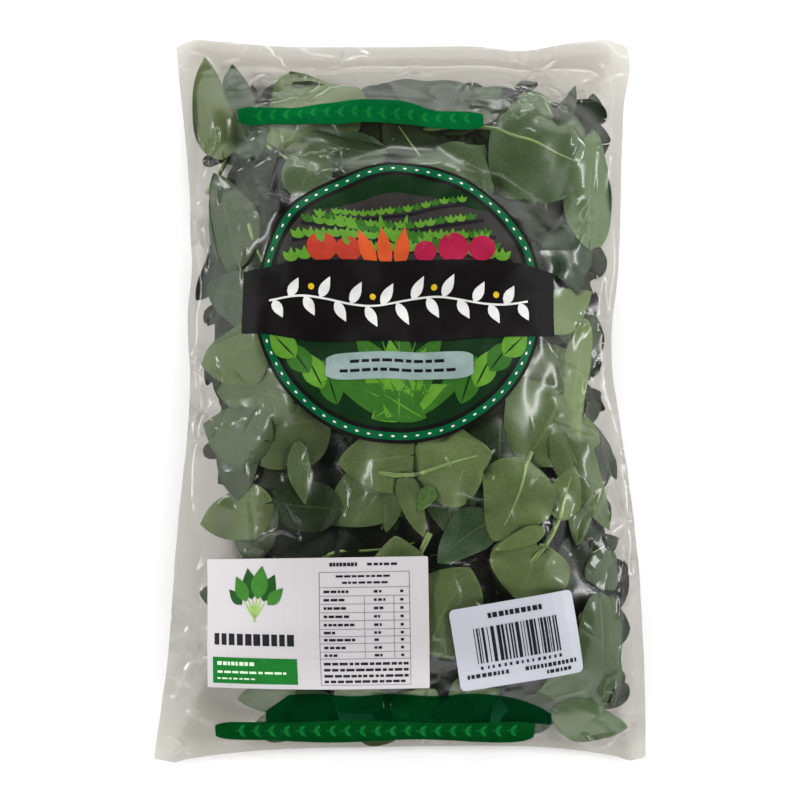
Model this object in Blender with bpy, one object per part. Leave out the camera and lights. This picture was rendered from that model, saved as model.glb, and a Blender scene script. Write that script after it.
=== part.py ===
"""A sealed clear film bag of spinach leaves, lying flat with its printed front up.

Metres, +Z up. The origin is the middle of the surface that the bag lies on. +Y runs to the
bag's top edge and +X to the right, as the front is read. The bag is one closed solid, since it
is sealed: its front follows the leaves under the film, and its back is flat where it lies.
Two paper labels are stuck to the front.
"""

import math

import bmesh
import bpy
from mathutils import Matrix, Vector, noise

MM = 0.001

# The filled bag, made from a flat bag of 250 by 400 mm
HALF_WIDTH = 124.5 * MM
HALF_LENGTH = 193 * MM
FULL_THICKNESS = 47 * MM
LOWER_EXTRA = 3 * MM  # the leaves have settled towards the lower end
SHEET_PAIR = 0.8 * MM  # front and back film together, where nothing is between them

# The filling pulls each edge in between its corners, unevenly. A few places measured on it, in
# millimetres: y and x on a side, x and y on an end.
LEFT_SIDE = (
    (-189, -124), (-140, -117), (-84, -113.8), (-8, -108.6), (38, -110.8), (60, -109.4),
    (125, -114), (190, -123.2),
)
RIGHT_SIDE = (
    (-189, 124), (-92, 121), (-27, 114.3), (18, 109.8), (66, 115.1), (146, 120), (175, 125),
    (189, 124.6),
)
TOP_END = ((-124, 194), (-57, 188.4), (42, 188.8), (66, 186.1), (90, 189.9), (124, 193.2))
BOTTOM_END = ((-124, -192), (-77, -185.6), (-20, -183.7), (61, -183.2), (100, -186.6), (124, -191.6))
EDGE_WAVE, EDGE_WAVE_LENGTH = 0.5 * MM, 18 * MM
TOP_CORNER_RADIUS = 5 * MM
BOTTOM_CORNER_RADIUS = 2.5 * MM

# Empty film at each edge, and the rounded shoulder from there up to full thickness. Few leaves
# lie in the lower left corner, so the film is empty further in there and rises more slowly.
LEFT_MARGIN, LEFT_SHOULDER = 5 * MM, 58 * MM
SLACK_MARGIN, SLACK_SHOULDER = 9 * MM, 24 * MM
SLACK_FROM, SLACK_LENGTH = -30 * MM, 90 * MM
RIGHT_MARGIN, RIGHT_SHOULDER = 4 * MM, 54 * MM
TOP_MARGIN, TOP_SHOULDER = 15 * MM, 74 * MM
BOTTOM_MARGIN, BOTTOM_SHOULDER = 8 * MM, 60 * MM
SHOULDER_POWER = 0.82
CROWN = 6 * MM  # the middle stands this much above the shoulders
BACK_LIFTS_BELOW = 0.42  # share of the full thickness under which the back leaves the floor

# The joined edge stands off the floor at the sides and droops at both ends
EDGE_LOW = 2.4 * MM
EDGE_RISE, EDGE_RISE_POWER = 10.5 * MM, 4
JOINT_WAVE, JOINT_WAVE_LENGTH = 1.4 * MM, 40 * MM

# Lumps of the leaves under the film, and puckers that run in from the edges
LUMP, LUMP_LENGTH = 10 * MM, 38 * MM
FINE_LUMP, FINE_LUMP_LENGTH = 3.4 * MM, 15 * MM
PUCKER, PUCKER_LENGTH, PUCKER_REACH = 4.2 * MM, 11 * MM, 30 * MM
RELIEF_ONSET = 2.2  # how soon the relief comes in as the bag fills

# Each uneven field is read from its own slice of the noise, so that no two move together
LEFT_EDGE_SLICE, RIGHT_EDGE_SLICE, JOINT_SLICE = 3.1, 7.7, 5.5
BROAD_SLICE, FINE_SLICE = 1.3, 8.2
SIDE_PUCKER_SLICE, END_PUCKER_SLICE = 4.4, 9.6

CELLS_ACROSS = 44
CELLS_ALONG = 66
FLAT_ANGLE = math.radians(0.05)
SHARP_ANGLE = math.radians(50)

LEAVES_IN_FILM = (0.13, 0.2, 0.08)
PAPER = (0.72, 0.71, 0.73)
FILM_ROUGHNESS = 0.35
PAPER_ROUGHNESS = 0.5

# Labels: size, middle, turn about +Z, corner radius and the cells that bend them
LABEL_THICKNESS = 0.3 * MM
LABEL_GAP = 0.4 * MM
LABEL_CELL = 5 * MM
LABEL_CALM = 12 * MM  # the film is smooth under a label and this far round it
CORNER_STEPS = 6
LABELS = {
    "info_label": {
        "size": (110 * MM, 63 * MM),
        "middle": (-41.2 * MM, -120.4 * MM),
        "turn": math.radians(0.9),
        "radius": 0.6 * MM,
    },
    "barcode_label": {
        "size": (60 * MM, 40 * MM),
        "middle": (55.8 * MM, -128.4 * MM),
        "turn": math.radians(9.5),
        "radius": 2.6 * MM,
    },
}


def clamp(value, low=0.0, high=1.0):
    return max(low, min(high, value))


def smooth_step(value):
    value = clamp(value)
    return value * value * (3 - 2 * value)


def uneven(u, v, noise_slice):
    """A smooth uneven height from about -1 to 1, with features about 1 long in u and v."""
    return noise.noise(Vector((u, v, noise_slice)))


def edge_wave(along, noise_slice):
    """A small uneven wave in an edge, as thin film has."""
    return EDGE_WAVE * uneven(along / EDGE_WAVE_LENGTH, 0, noise_slice)


def slope(places, index):
    """How an edge runs at one of the places measured on it."""
    before, after = places[max(index - 1, 0)], places[min(index + 1, len(places) - 1)]
    return (after[1] - before[1]) / (after[0] - before[0])


def measured_edge(places, at):
    """A smooth curve through the places measured on an edge, read at a distance along it."""
    at = clamp(at / MM, places[0][0], places[-1][0])
    index = 0
    while index < len(places) - 2 and at > places[index + 1][0]:
        index += 1
    (start, first), (end, last) = places[index], places[index + 1]
    span = end - start
    t = (at - start) / span
    eased = t * t * (3 - 2 * t)
    bent = t * (1 - t) * ((1 - t) * slope(places, index) - t * slope(places, index + 1))
    return (first + (last - first) * eased + span * bent) * MM


def left_edge(y):
    return measured_edge(LEFT_SIDE, y) + edge_wave(y, LEFT_EDGE_SLICE)


def right_edge(y):
    return measured_edge(RIGHT_SIDE, y) + edge_wave(y, RIGHT_EDGE_SLICE)


def corner_drop(x, radius):
    """How far a rounded corner falls back from the end edge at x."""
    into = clamp(abs(x) - (HALF_WIDTH - radius), 0, radius)
    return radius - math.sqrt(radius * radius - into * into)


def top_edge(x):
    return measured_edge(TOP_END, x) - corner_drop(x, TOP_CORNER_RADIUS)


def bottom_edge(x):
    return measured_edge(BOTTOM_END, x) + corner_drop(x, BOTTOM_CORNER_RADIUS)


def shoulder(distance, margin, width):
    """0 on the empty film of an edge, rounding up to 1 where the bag is full."""
    return math.sin(math.pi / 2 * clamp((distance - margin) / width)) ** SHOULDER_POWER


def fullness(x, y):
    """0 where front and back film meet, 1 where the leaves fill the bag."""
    slack = smooth_step((SLACK_FROM - y) / SLACK_LENGTH)
    left_margin = LEFT_MARGIN + SLACK_MARGIN * slack
    left_width = LEFT_SHOULDER + SLACK_SHOULDER * slack
    return (
        shoulder(x - left_edge(y), left_margin, left_width)
        * shoulder(right_edge(y) - x, RIGHT_MARGIN, RIGHT_SHOULDER)
        * shoulder(top_edge(x) - y, TOP_MARGIN, TOP_SHOULDER)
        * shoulder(y - bottom_edge(x), BOTTOM_MARGIN, BOTTOM_SHOULDER)
    )


def label_calm(x, y):
    """0 under a label, where the stiff paper keeps the film smooth, and 1 away from it."""
    calm = 1.0
    for label in LABELS.values():
        across, along = x - label["middle"][0], y - label["middle"][1]
        cosine, sine = math.cos(label["turn"]), math.sin(label["turn"])
        own_x = abs(across * cosine + along * sine) - label["size"][0] / 2
        own_y = abs(along * cosine - across * sine) - label["size"][1] / 2
        calm = min(calm, smooth_step(max(own_x, own_y) / LABEL_CALM))
    return calm


def lumps(x, y):
    """Height of the leaves' relief under the film."""
    broad = uneven(x / LUMP_LENGTH, y / LUMP_LENGTH, BROAD_SLICE)
    fine = uneven(x / FINE_LUMP_LENGTH, y / FINE_LUMP_LENGTH, FINE_SLICE)
    return LUMP * broad + FINE_LUMP * fine


def puckers(x, y):
    """Folds square to the edges, deepest near an edge and gone further in."""
    to_side = min(x - left_edge(y), right_edge(y) - x)
    to_end = min(top_edge(x) - y, y - bottom_edge(x))
    by_side = uneven(y / PUCKER_LENGTH, x / LUMP_LENGTH, SIDE_PUCKER_SLICE)
    by_end = uneven(x / PUCKER_LENGTH, y / LUMP_LENGTH, END_PUCKER_SLICE)
    return PUCKER * (
        by_side * math.exp(-max(to_side, 0) / PUCKER_REACH)
        + by_end * math.exp(-max(to_end, 0) / PUCKER_REACH)
    )


def joint_height(x, y):
    """Height of the plane where front and back film meet."""
    rise = EDGE_RISE * (1 - clamp(abs(y) / HALF_LENGTH) ** EDGE_RISE_POWER)
    wave = JOINT_WAVE * uneven(x / JOINT_WAVE_LENGTH, y / JOINT_WAVE_LENGTH, JOINT_SLICE)
    return EDGE_LOW + rise + wave


def front_height(x, y):
    full = fullness(x, y)
    crown = CROWN * ((x / HALF_WIDTH) ** 2 + (y / HALF_LENGTH) ** 2)
    settled = FULL_THICKNESS - LOWER_EXTRA * y / HALF_LENGTH - crown
    relief = (lumps(x, y) + puckers(x, y)) * label_calm(x, y)
    lowest = joint_height(x, y) + SHEET_PAIR / 2
    return lowest + (settled - lowest) * full + relief * smooth_step(full * RELIEF_ONSET)


def back_height(x, y):
    lift = 1 - smooth_step(fullness(x, y) / BACK_LIFTS_BELOW)
    return max(0.0, (joint_height(x, y) - SHEET_PAIR / 2) * lift)


def plan_point(across, along):
    """A point of the bag's outline seen from above, from shares of its width and length."""
    x = HALF_WIDTH * (2 * across - 1)
    y = bottom_edge(x) + (top_edge(x) - bottom_edge(x)) * along
    return left_edge(y) + (right_edge(y) - left_edge(y)) * across, y


def painted(name, colour, roughness):
    material = bpy.data.materials.new(name)
    material.use_nodes = True
    shader = material.node_tree.nodes["Principled BSDF"]
    shader.inputs["Base Color"].default_value = (*colour, 1)
    shader.inputs["Roughness"].default_value = roughness
    shader.inputs["Metallic"].default_value = 0
    return material


def add_object(name, bm, material):
    mesh = bpy.data.meshes.new(name)
    bm.to_mesh(mesh)
    bm.free()
    mesh.materials.append(material)
    mesh.shade_smooth()
    mesh.set_sharp_from_angle(angle=SHARP_ANGLE)
    obj = bpy.data.objects.new(name, mesh)
    bpy.context.scene.collection.objects.link(obj)
    return obj


def add_sheet(bm, height):
    """A grid of faces over the whole outline at the heights that a function gives."""
    rows = []
    for j in range(CELLS_ALONG + 1):
        points = [plan_point(i / CELLS_ACROSS, j / CELLS_ALONG) for i in range(CELLS_ACROSS + 1)]
        rows.append([bm.verts.new((x, y, height(x, y))) for x, y in points])
    for low, high in zip(rows, rows[1:]):
        for i in range(CELLS_ACROSS):
            bm.faces.new((low[i], low[i + 1], high[i + 1], high[i]))


def make_bag():
    """The filled bag: front and back sheets joined by a narrow wall round the whole outline."""
    bm = bmesh.new()
    add_sheet(bm, back_height)
    for face in bm.faces:
        face.normal_flip()
    add_sheet(bm, front_height)
    rims = [edge for edge in bm.edges if edge.is_boundary]
    bmesh.ops.bridge_loops(bm, edges=rims)
    on_floor = [v for v in bm.verts if v.co.z == 0.0]
    flat = {f for v in on_floor for f in v.link_faces if all(c.co.z == 0.0 for c in f.verts)}
    inner = {edge for face in flat for edge in face.edges}
    bmesh.ops.dissolve_limit(
        bm, angle_limit=FLAT_ANGLE, use_dissolve_boundaries=False, verts=[], edges=list(inner)
    )
    bmesh.ops.recalc_face_normals(bm, faces=bm.faces)
    return add_object("bag", bm, painted("leaves_in_film", LEAVES_IN_FILM, FILM_ROUGHNESS))


def rounded_rectangle(width, length, radius):
    """Corner points of a flat label, with each corner as a quarter circle."""
    points = []
    for quarter, (side_x, side_y) in enumerate(((1, 1), (-1, 1), (-1, -1), (1, -1))):
        middle = Vector((side_x * (width / 2 - radius), side_y * (length / 2 - radius), 0))
        for step in range(CORNER_STEPS + 1):
            angle = math.pi / 2 * (quarter + step / CORNER_STEPS)
            points.append(middle + radius * Vector((math.cos(angle), math.sin(angle), 0)))
    return points


def cut_into_cells(bm, width, length):
    """Lines across a flat label, so that it can bend over the bag."""
    for axis, extent in ((0, width), (1, length)):
        cells = math.ceil(extent / LABEL_CELL)
        for cell in range(1, cells):
            point, normal = Vector((0, 0, 0)), Vector((0, 0, 0))
            point[axis] = extent * (cell / cells - 0.5)
            normal[axis] = 1
            everything = bm.verts[:] + bm.edges[:] + bm.faces[:]
            bmesh.ops.bisect_plane(bm, geom=everything, plane_co=point, plane_no=normal)


def make_label(name, size, middle, turn, radius):
    """A paper label, cut flat, bent over the front of the bag and given its thickness."""
    bm = bmesh.new()
    bm.faces.new([bm.verts.new(p) for p in rounded_rectangle(*size, radius)])
    cut_into_cells(bm, *size)
    bm.transform(Matrix.Translation((*middle, 0)) @ Matrix.Rotation(turn, 4, "Z"))
    for vert in bm.verts:
        vert.co.z = front_height(vert.co.x, vert.co.y) + LABEL_GAP
    top = bmesh.ops.extrude_face_region(bm, geom=bm.faces[:])["geom"]
    upper = [part for part in top if isinstance(part, bmesh.types.BMVert)]
    bmesh.ops.translate(bm, verts=upper, vec=(0, 0, LABEL_THICKNESS))
    bmesh.ops.recalc_face_normals(bm, faces=bm.faces)
    return add_object(name, bm, painted(name + "_paper", PAPER, PAPER_ROUGHNESS))


def main():
    for old in list(bpy.data.objects):
        bpy.data.objects.remove(old)
    make_bag()
    for name, label in LABELS.items():
        make_label(name, label["size"], label["middle"], label["turn"], label["radius"])


main()
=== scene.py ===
"""A sealed clear film bag of spinach leaves that lies on its back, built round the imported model."""

import math

import bmesh
import bpy
import numpy as np
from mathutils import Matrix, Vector
from mathutils.bvhtree import BVHTree


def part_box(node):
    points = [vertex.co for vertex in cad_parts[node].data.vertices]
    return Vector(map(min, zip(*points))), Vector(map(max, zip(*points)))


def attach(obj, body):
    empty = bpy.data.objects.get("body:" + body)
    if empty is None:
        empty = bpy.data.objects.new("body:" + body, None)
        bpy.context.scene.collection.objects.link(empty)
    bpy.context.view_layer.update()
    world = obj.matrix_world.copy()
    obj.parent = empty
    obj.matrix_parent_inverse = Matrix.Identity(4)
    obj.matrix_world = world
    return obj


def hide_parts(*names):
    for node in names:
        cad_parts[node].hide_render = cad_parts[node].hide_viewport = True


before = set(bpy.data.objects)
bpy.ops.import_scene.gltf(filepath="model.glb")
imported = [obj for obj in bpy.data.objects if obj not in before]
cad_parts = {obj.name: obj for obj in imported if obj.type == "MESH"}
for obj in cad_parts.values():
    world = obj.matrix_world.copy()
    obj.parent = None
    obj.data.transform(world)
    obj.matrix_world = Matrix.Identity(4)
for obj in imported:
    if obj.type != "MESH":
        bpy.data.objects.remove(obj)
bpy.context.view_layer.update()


# Camera
# It looks down on the bag from a little below its lower end, which makes the upper end look
# narrower, and takes in the whole bag with a small rim of floor.
MM = 0.001
VIEW_PIXELS = 800
LENS, SENSOR = 50, 36
AIM = Vector((0, -8 * MM, 10 * MM))
STANDS_OFF = 577 * MM
TILT = math.radians(7.6)

camera = bpy.data.objects.new("camera", bpy.data.cameras.new("camera"))
camera.data.lens = LENS
camera.data.sensor_width = SENSOR
upward = Vector((0, -math.sin(TILT), math.cos(TILT)))
camera.location = AIM + STANDS_OFF * upward
camera.rotation_mode = "QUATERNION"
camera.rotation_quaternion = (-upward).to_track_quat("-Z", "Y")
bpy.context.scene.collection.objects.link(camera)
bpy.context.scene.camera = camera


# The filled form
# The film takes its form from the leaves inside and from the table it lies on. Both sides are
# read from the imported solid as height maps, and everything below is laid on or between the two.
CELL = 1.2 * MM
MAP_BORDER = 6 * MM
FAR = 1.0
SMOOTHING = 5
EDGE_INSET = 0.3 * MM
OUTLINE_CUTS = 300
OUTER_PART = 0.8

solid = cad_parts["bag"].data
corners = np.array([v.co for v in solid.vertices])
solid_edges = np.array([edge.vertices for edge in solid.edges])
low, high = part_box("bag")
map_x = np.arange(low.x - MAP_BORDER, high.x + MAP_BORDER, CELL)
map_y = np.arange(low.y - MAP_BORDER, high.y + MAP_BORDER, CELL)
grid_x, grid_y = np.meshgrid(map_x, map_y)


def tree_of(mesh):
    """The faces of a mesh, ready to be met by rays."""
    return BVHTree.FromPolygons([v.co for v in mesh.vertices], [p.vertices for p in mesh.polygons])


def cast_map(tree, way):
    """The heights where a tree of faces is first met from above (-1) or from below (1)."""
    heights = np.full(grid_x.shape, np.nan)
    direction = Vector((0, 0, way))
    for j, y in enumerate(map_y):
        for i, x in enumerate(map_x):
            hit = tree.ray_cast(Vector((x, y, -FAR * way)), direction)[0]
            if hit is not None:
                heights[j, i] = hit.z
    return heights


def four_sides(heights):
    """Each cell's neighbours on its four sides."""
    wide = np.pad(heights, 1, mode="edge")
    return np.stack([wide[:-2, 1:-1], wide[2:, 1:-1], wide[1:-1, :-2], wide[1:-1, 2:]])


def spread_outward(heights):
    """Fills the empty cells round a form from the nearest cells that have a height."""
    heights = heights.copy()
    while np.isnan(heights).any():
        sides = four_sides(heights)
        known = (~np.isnan(sides)).sum(axis=0)
        mean = np.nansum(sides, axis=0) / np.maximum(known, 1)
        fill = np.isnan(heights) & (known > 0)
        heights[fill] = mean[fill]
    return heights


def smoothed(heights, times):
    """Heights drawn halfway to their neighbours' mean, time after time."""
    for _ in range(times):
        heights = (heights + four_sides(heights).mean(axis=0)) / 2
    return heights


def read_map(heights, x, y):
    """Heights at plan points, straight-lined between the cells of a map."""
    u = np.clip((x - map_x[0]) / CELL, 0, len(map_x) - 1.001)
    v = np.clip((y - map_y[0]) / CELL, 0, len(map_y) - 1.001)
    i, j = u.astype(int), v.astype(int)
    du, dv = u - i, v - j
    lower = heights[j, i] * (1 - du) + heights[j, i + 1] * du
    upper = heights[j + 1, i] * (1 - du) + heights[j + 1, i + 1] * du
    return lower * (1 - dv) + upper * dv


def outer_line(axis, way):
    """Cuts across a plan axis, and how far the solid reaches at each, one way along the other."""
    start, end = corners[solid_edges[:, 0]], corners[solid_edges[:, 1]]
    half = (high - low)[1 - axis] / 2
    cuts, reaches = [], []
    for cut in np.linspace(low[axis] + EDGE_INSET, high[axis] - EDGE_INSET, OUTLINE_CUTS):
        crossing = (start[:, axis] - cut) * (end[:, axis] - cut) < 0
        before, after = start[crossing], end[crossing]
        share = (cut - before[:, axis]) / (after[:, axis] - before[:, axis])
        other = before[:, 1 - axis] + share * (after[:, 1 - axis] - before[:, 1 - axis])
        if (other * way).max() > OUTER_PART * half:
            cuts.append(cut)
            reaches.append(way * (other * way).max())
    return np.array(cuts), np.array(reaches)


bag_tree = tree_of(solid)
left_side, right_side = outer_line(1, -1), outer_line(1, 1)
lower_end, upper_end = outer_line(0, -1), outer_line(0, 1)
front = smoothed(spread_outward(cast_map(bag_tree, -1)), SMOOTHING)
back = smoothed(spread_outward(cast_map(bag_tree, 1)), SMOOTHING)
back = np.maximum(back, 0)
room = front - back


def plan_points(across, along):
    """Plan points of the bag's outline, from shares of its width and of its length."""
    bottom, top = (
        np.interp(cuts[0] + (cuts[-1] - cuts[0]) * across, cuts, reaches)
        for cuts, reaches in (lower_end, upper_end)
    )
    y = bottom + (top - bottom) * along
    left, right = np.interp(y, *left_side), np.interp(y, *right_side)
    return left + (right - left) * across, y


def seen_at(u, v):
    """The plan point of the bag's front that shows at a pixel of the square view."""
    half = VIEW_PIXELS / 2
    reach = SENSOR / 2 / LENS / half
    ray = camera.rotation_quaternion @ Vector(((u - half) * reach, (half - v) * reach, -1))
    hit = bag_tree.ray_cast(camera.location, ray.normalized())[0]
    if hit is None:
        hit = camera.location - ray * camera.location.z / ray.z
    return np.array((hit.x, hit.y))


# Spinach leaves
# Loose picked leaves, washed and tipped into the bag: broad near the stem and drawn out to a
# blunt tip, darker and smoother above, paler and duller below. The upper ones lie against the
# film as the view shows them, and each further one lies below those that are already there.
LEAF_THICKNESS = 0.36 * MM
NEAREST_FILM = 0.7 * MM
PRESSED_SOFTLY = 0.45 * MM
LEAF_GAP = 0.45 * MM
OFF_THE_BACK = 0.7 * MM
DRAPING = 4
WIDEST_AT = 0.3
BLUNT_ENDS = 0.035
VEIN_SLANT, VEIN_CURVE = 0.34, 0.8
FEWEST_VEINS, MORE_VEINS = 5.0, 2.5
PUFFED = 0.5 * MM
LEAF_EDGE_ANGLE = math.radians(48)
EDGE_THINNING = 0.6
EDGE_WAVES = (1.2, 2.6)
WAVE_HEIGHTS = (0.03, 0.085)
WAVE_GROWTH = 2.2
CURL_RADIUS = 1.6 * MM
BASE_SWEEP = (0.05, 0.12)
SIDE_BEND = (-0.06, 0.06)
RIB_REACH = 0.72
STALK_SIDES, STALK_STEPS = 8, 12
RIB_RADII, STALK_RADII = (0.35, 1.1), (1.2, 1.55)  # in mm, from the thin end on
STALK_BELOW, STALK_DIP = 1.2 * MM, 0.03
STALK_ROOM = 20 * MM
draw = np.random.default_rng(28)

# Each side of the bag keeps how far in from its film the room is already taken by leaves
from_front = {"film": front, "way": -1, "taken": np.full(front.shape, NEAREST_FILM)}
from_back = {"film": back, "way": 1, "taken": np.full(front.shape, NEAREST_FILM)}


def strips(rows, cols):
    """Triangles of a closed thin sheet: its top points, then its bottom points, row by row."""
    index = np.arange(rows * cols).reshape(rows, cols)
    a, b = index[:-1, :-1].ravel(), index[1:, :-1].ravel()
    c, d = index[1:, 1:].ravel(), index[:-1, 1:].ravel()
    top = np.concatenate([np.stack([a, b, c], 1), np.stack([a, c, d], 1)])
    bottom = top[:, ::-1] + rows * cols
    rim = np.concatenate([index[:, 0], index[-1, 1:], index[-2::-1, -1], index[0, -2:0:-1]])
    after = np.roll(rim, -1)
    under, after_under = rim + rows * cols, after + rows * cols
    outer, inner = np.stack([rim, under, after_under], 1), np.stack([rim, after_under, after], 1)
    return np.concatenate([top, bottom, outer, inner])


def thin_sheet(points, thickness):
    """A grid of points as a closed sheet of that thickness, half to each side."""
    rows, cols = points.shape[:2]
    normal = np.cross(np.gradient(points, axis=0), np.gradient(points, axis=1))
    normal /= np.maximum(np.linalg.norm(normal, axis=2, keepdims=True), 1e-12)
    offset = normal * thickness[..., None] / 2
    both = np.concatenate([(points + offset).reshape(-1, 3), (points - offset).reshape(-1, 3)])
    return both, strips(rows, cols)


def tube(path, radii):
    """A round closed tube along a path of points."""
    ahead = np.gradient(path, axis=0)
    ahead /= np.linalg.norm(ahead, axis=1, keepdims=True)
    aside = np.cross(ahead, (0.0, 0.0, 1.0))
    aside /= np.maximum(np.linalg.norm(aside, axis=1, keepdims=True), 1e-9)
    upright = np.cross(aside, ahead)
    angle = np.linspace(0, 2 * math.pi, STALK_SIDES, endpoint=False)[None, :, None]
    ring = np.cos(angle) * aside[:, None] + np.sin(angle) * upright[:, None]
    points = (path[:, None] + ring * radii[:, None, None]).reshape(-1, 3)
    triangles = []
    for row in range(len(path) - 1):
        for side in range(STALK_SIDES):
            a, b = row * STALK_SIDES + side, row * STALK_SIDES + (side + 1) % STALK_SIDES
            triangles += [(a, a + STALK_SIDES, b + STALK_SIDES), (a, b + STALK_SIDES, b)]
    last = (len(path) - 1) * STALK_SIDES
    for side in range(1, STALK_SIDES - 1):
        triangles += [(0, side, side + 1), (last, last + side + 1, last + side)]
    return points, np.array(triangles)


def leaf_outline(u):
    """Half width at a share of a leaf's length, as a share of the most."""
    rise = 1 - (1 - np.clip(u / WIDEST_AT, 0, 1)) ** 2
    fall = np.clip((u - WIDEST_AT) / (1 - WIDEST_AT), 0, 1)
    return np.maximum(rise**0.55 * (1 - fall**1.7) ** 0.8, BLUNT_ENDS)


def denser(grid):
    """The same grid of values with three times the points each way."""
    rows, cols = grid.shape
    down, over = np.linspace(0, rows - 1, 3 * rows), np.linspace(0, cols - 1, 3 * cols)
    grid = np.array([np.interp(down, np.arange(rows), column) for column in grid.T]).T
    return np.array([np.interp(over, np.arange(cols), row) for row in grid])


def settled(side, x, y, deep):
    """Depths below a film, soft where pressed against it and never within what lies there."""
    deep = NEAREST_FILM + PRESSED_SOFTLY * np.logaddexp(0, (deep - NEAREST_FILM) / PRESSED_SOFTLY)
    least = read_map(side["taken"], x, y)
    deep = np.maximum(deep, least)
    for _ in range(DRAPING):
        deep = np.maximum(smoothed(deep, 1), least)
    return np.minimum(deep, np.maximum(read_map(room, x, y) - OFF_THE_BACK, NEAREST_FILM))


def take_up(side, x, y, deep):
    """Marks the room that a leaf or a stalk fills, so that the next one lies below it."""
    i = np.rint((denser(x) - map_x[0]) / CELL).astype(int)
    j = np.rint((denser(y) - map_y[0]) / CELL).astype(int)
    np.maximum.at(side["taken"], (j, i), denser(deep) + LEAF_GAP)


def make_stalk(heap, side, rib, stem_end, ahead, length, bend, deep):
    """The midrib under a leaf and the stalk that it runs on into, as one tapered tube."""
    steps = np.linspace(0, length, STALK_STEPS)[1:]
    turn = math.radians(bend) * steps / length
    run = steps[0]
    x = stem_end[0] - np.cumsum(run * (ahead[0] * np.cos(turn) - ahead[1] * np.sin(turn)))
    y = stem_end[1] - np.cumsum(run * (ahead[1] * np.cos(turn) + ahead[0] * np.sin(turn)))
    radii = [np.linspace(*RIB_RADII, len(rib)), np.linspace(*STALK_RADII, len(steps))]
    x, y = x[:, None], y[:, None]
    deep = settled(side, x, y, deep + STALK_BELOW + STALK_DIP * steps[:, None])
    z = read_map(side["film"], x, y) + side["way"] * deep
    take_up(side, x, y, deep + STALK_BELOW)
    path = np.concatenate([rib, np.concatenate([x, y, z], axis=1)])
    heap["stalks"].append(tube(path, np.concatenate(radii) * MM))


def make_leaf(heap, side, stem_end, tip, width, deep, under=0.5, tone=0.5, warmth=0.65, fold=0.0,
              cup=0.0, roll=0.0, lean=0.0, rise=0.0, stalk=0.0, bend=0.0, rows=20, cols=15):
    """One leaf, and its stalk where it shows, bent to lie at a depth (mm) below the film."""
    stem_end, tip = np.array(stem_end), np.array(tip)
    length = float(np.linalg.norm(tip - stem_end))
    ahead = (tip - stem_end) / length
    leftward = np.array((-ahead[1], ahead[0]))
    own = draw.random()
    u = (1 - np.cos(np.linspace(0, math.pi, rows)))[:, None] / 2
    v = np.linspace(-1, 1, cols)[None, :]
    half = width / 2 * leaf_outline(u) * (1 + 0.05 * np.sin(9 * u + 6 * draw.random()))
    aside = half * v
    phase = draw.random(3) * 2 * math.pi
    waves = 2 * math.pi * draw.uniform(*EDGE_WAVES) * u
    ripple = np.where(v > 0, np.sin(waves + phase[0]), np.sin(waves + phase[1]))
    wave_height = draw.uniform(*WAVE_HEIGHTS) * width
    height = fold * np.abs(aside) + cup * aside**2 / (width / 2)
    height = height + wave_height * np.abs(v) ** WAVE_GROWTH * ripple
    vein_count, slant = FEWEST_VEINS + MORE_VEINS * own, VEIN_SLANT * np.abs(v) ** VEIN_CURVE
    side_vein = np.abs(np.sin(math.pi * vein_count * (u - slant)))
    height = height + PUFFED * side_vein**0.6 * (1 - v**2) * np.minimum(1, 6 * np.abs(v))
    if roll:
        edge, starts = math.copysign(1, roll), 1 - abs(roll)
        over = np.maximum((edge * v - starts) * half, 0)
        curl = np.minimum(over / CURL_RADIUS, math.pi)
        flat = np.maximum(over - math.pi * CURL_RADIUS, 0)
        rolled = edge * starts * half + edge * (CURL_RADIUS * np.sin(curl) - flat)
        aside = np.where(over > 0, rolled, aside)
        height = height + CURL_RADIUS * (1 - np.cos(curl))
    onward = length * (u - draw.uniform(*BASE_SWEEP) * v**2 * (1 - u) ** 5)
    aside = aside + draw.uniform(*SIDE_BEND) * length * np.sin(math.pi * u)
    x = stem_end[0] + ahead[0] * onward + leftward[0] * aside
    y = stem_end[1] + ahead[1] * onward + leftward[1] * aside
    depth = settled(side, x, y, deep * MM - height - rise * MM * (u - 0.5) + lean * MM * v)
    z = read_map(side["film"], x, y) + side["way"] * depth
    take_up(side, x, y, depth)
    points = np.stack([x, y, z], axis=2)
    thickness = LEAF_THICKNESS * (1 - EDGE_THINNING * np.abs(v) ** 4) * np.ones_like(u)
    mesh_points, triangles = thin_sheet(points, thickness)
    place = np.stack([u + 0 * v, (v + 1) / 2 + 0 * u, under + 0 * (u + v)], axis=2).reshape(-1, 3)
    below = place.copy()
    below[:, 2] = 1 - under
    tint = np.tile((tone, warmth, own), (len(mesh_points), 1))
    heap["leaves"].append((mesh_points, triangles, np.concatenate([place, below]), tint))
    if stalk:
        rib = points[: int(rows * RIB_REACH), cols // 2][::-1]
        make_stalk(heap, side, rib, stem_end, ahead, stalk * MM, bend, depth[0, cols // 2])


shown = {"leaves": [], "stalks": []}
to_show = []


def shown_leaf(stem, tip, width, **form):
    """A leaf where the view shows it, from the pixels of its stem end and its tip."""
    to_show.append((form["deep"], seen_at(*stem), seen_at(*tip), width * MM, form))


FINE = {"rows": 30, "cols": 23}

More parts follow.
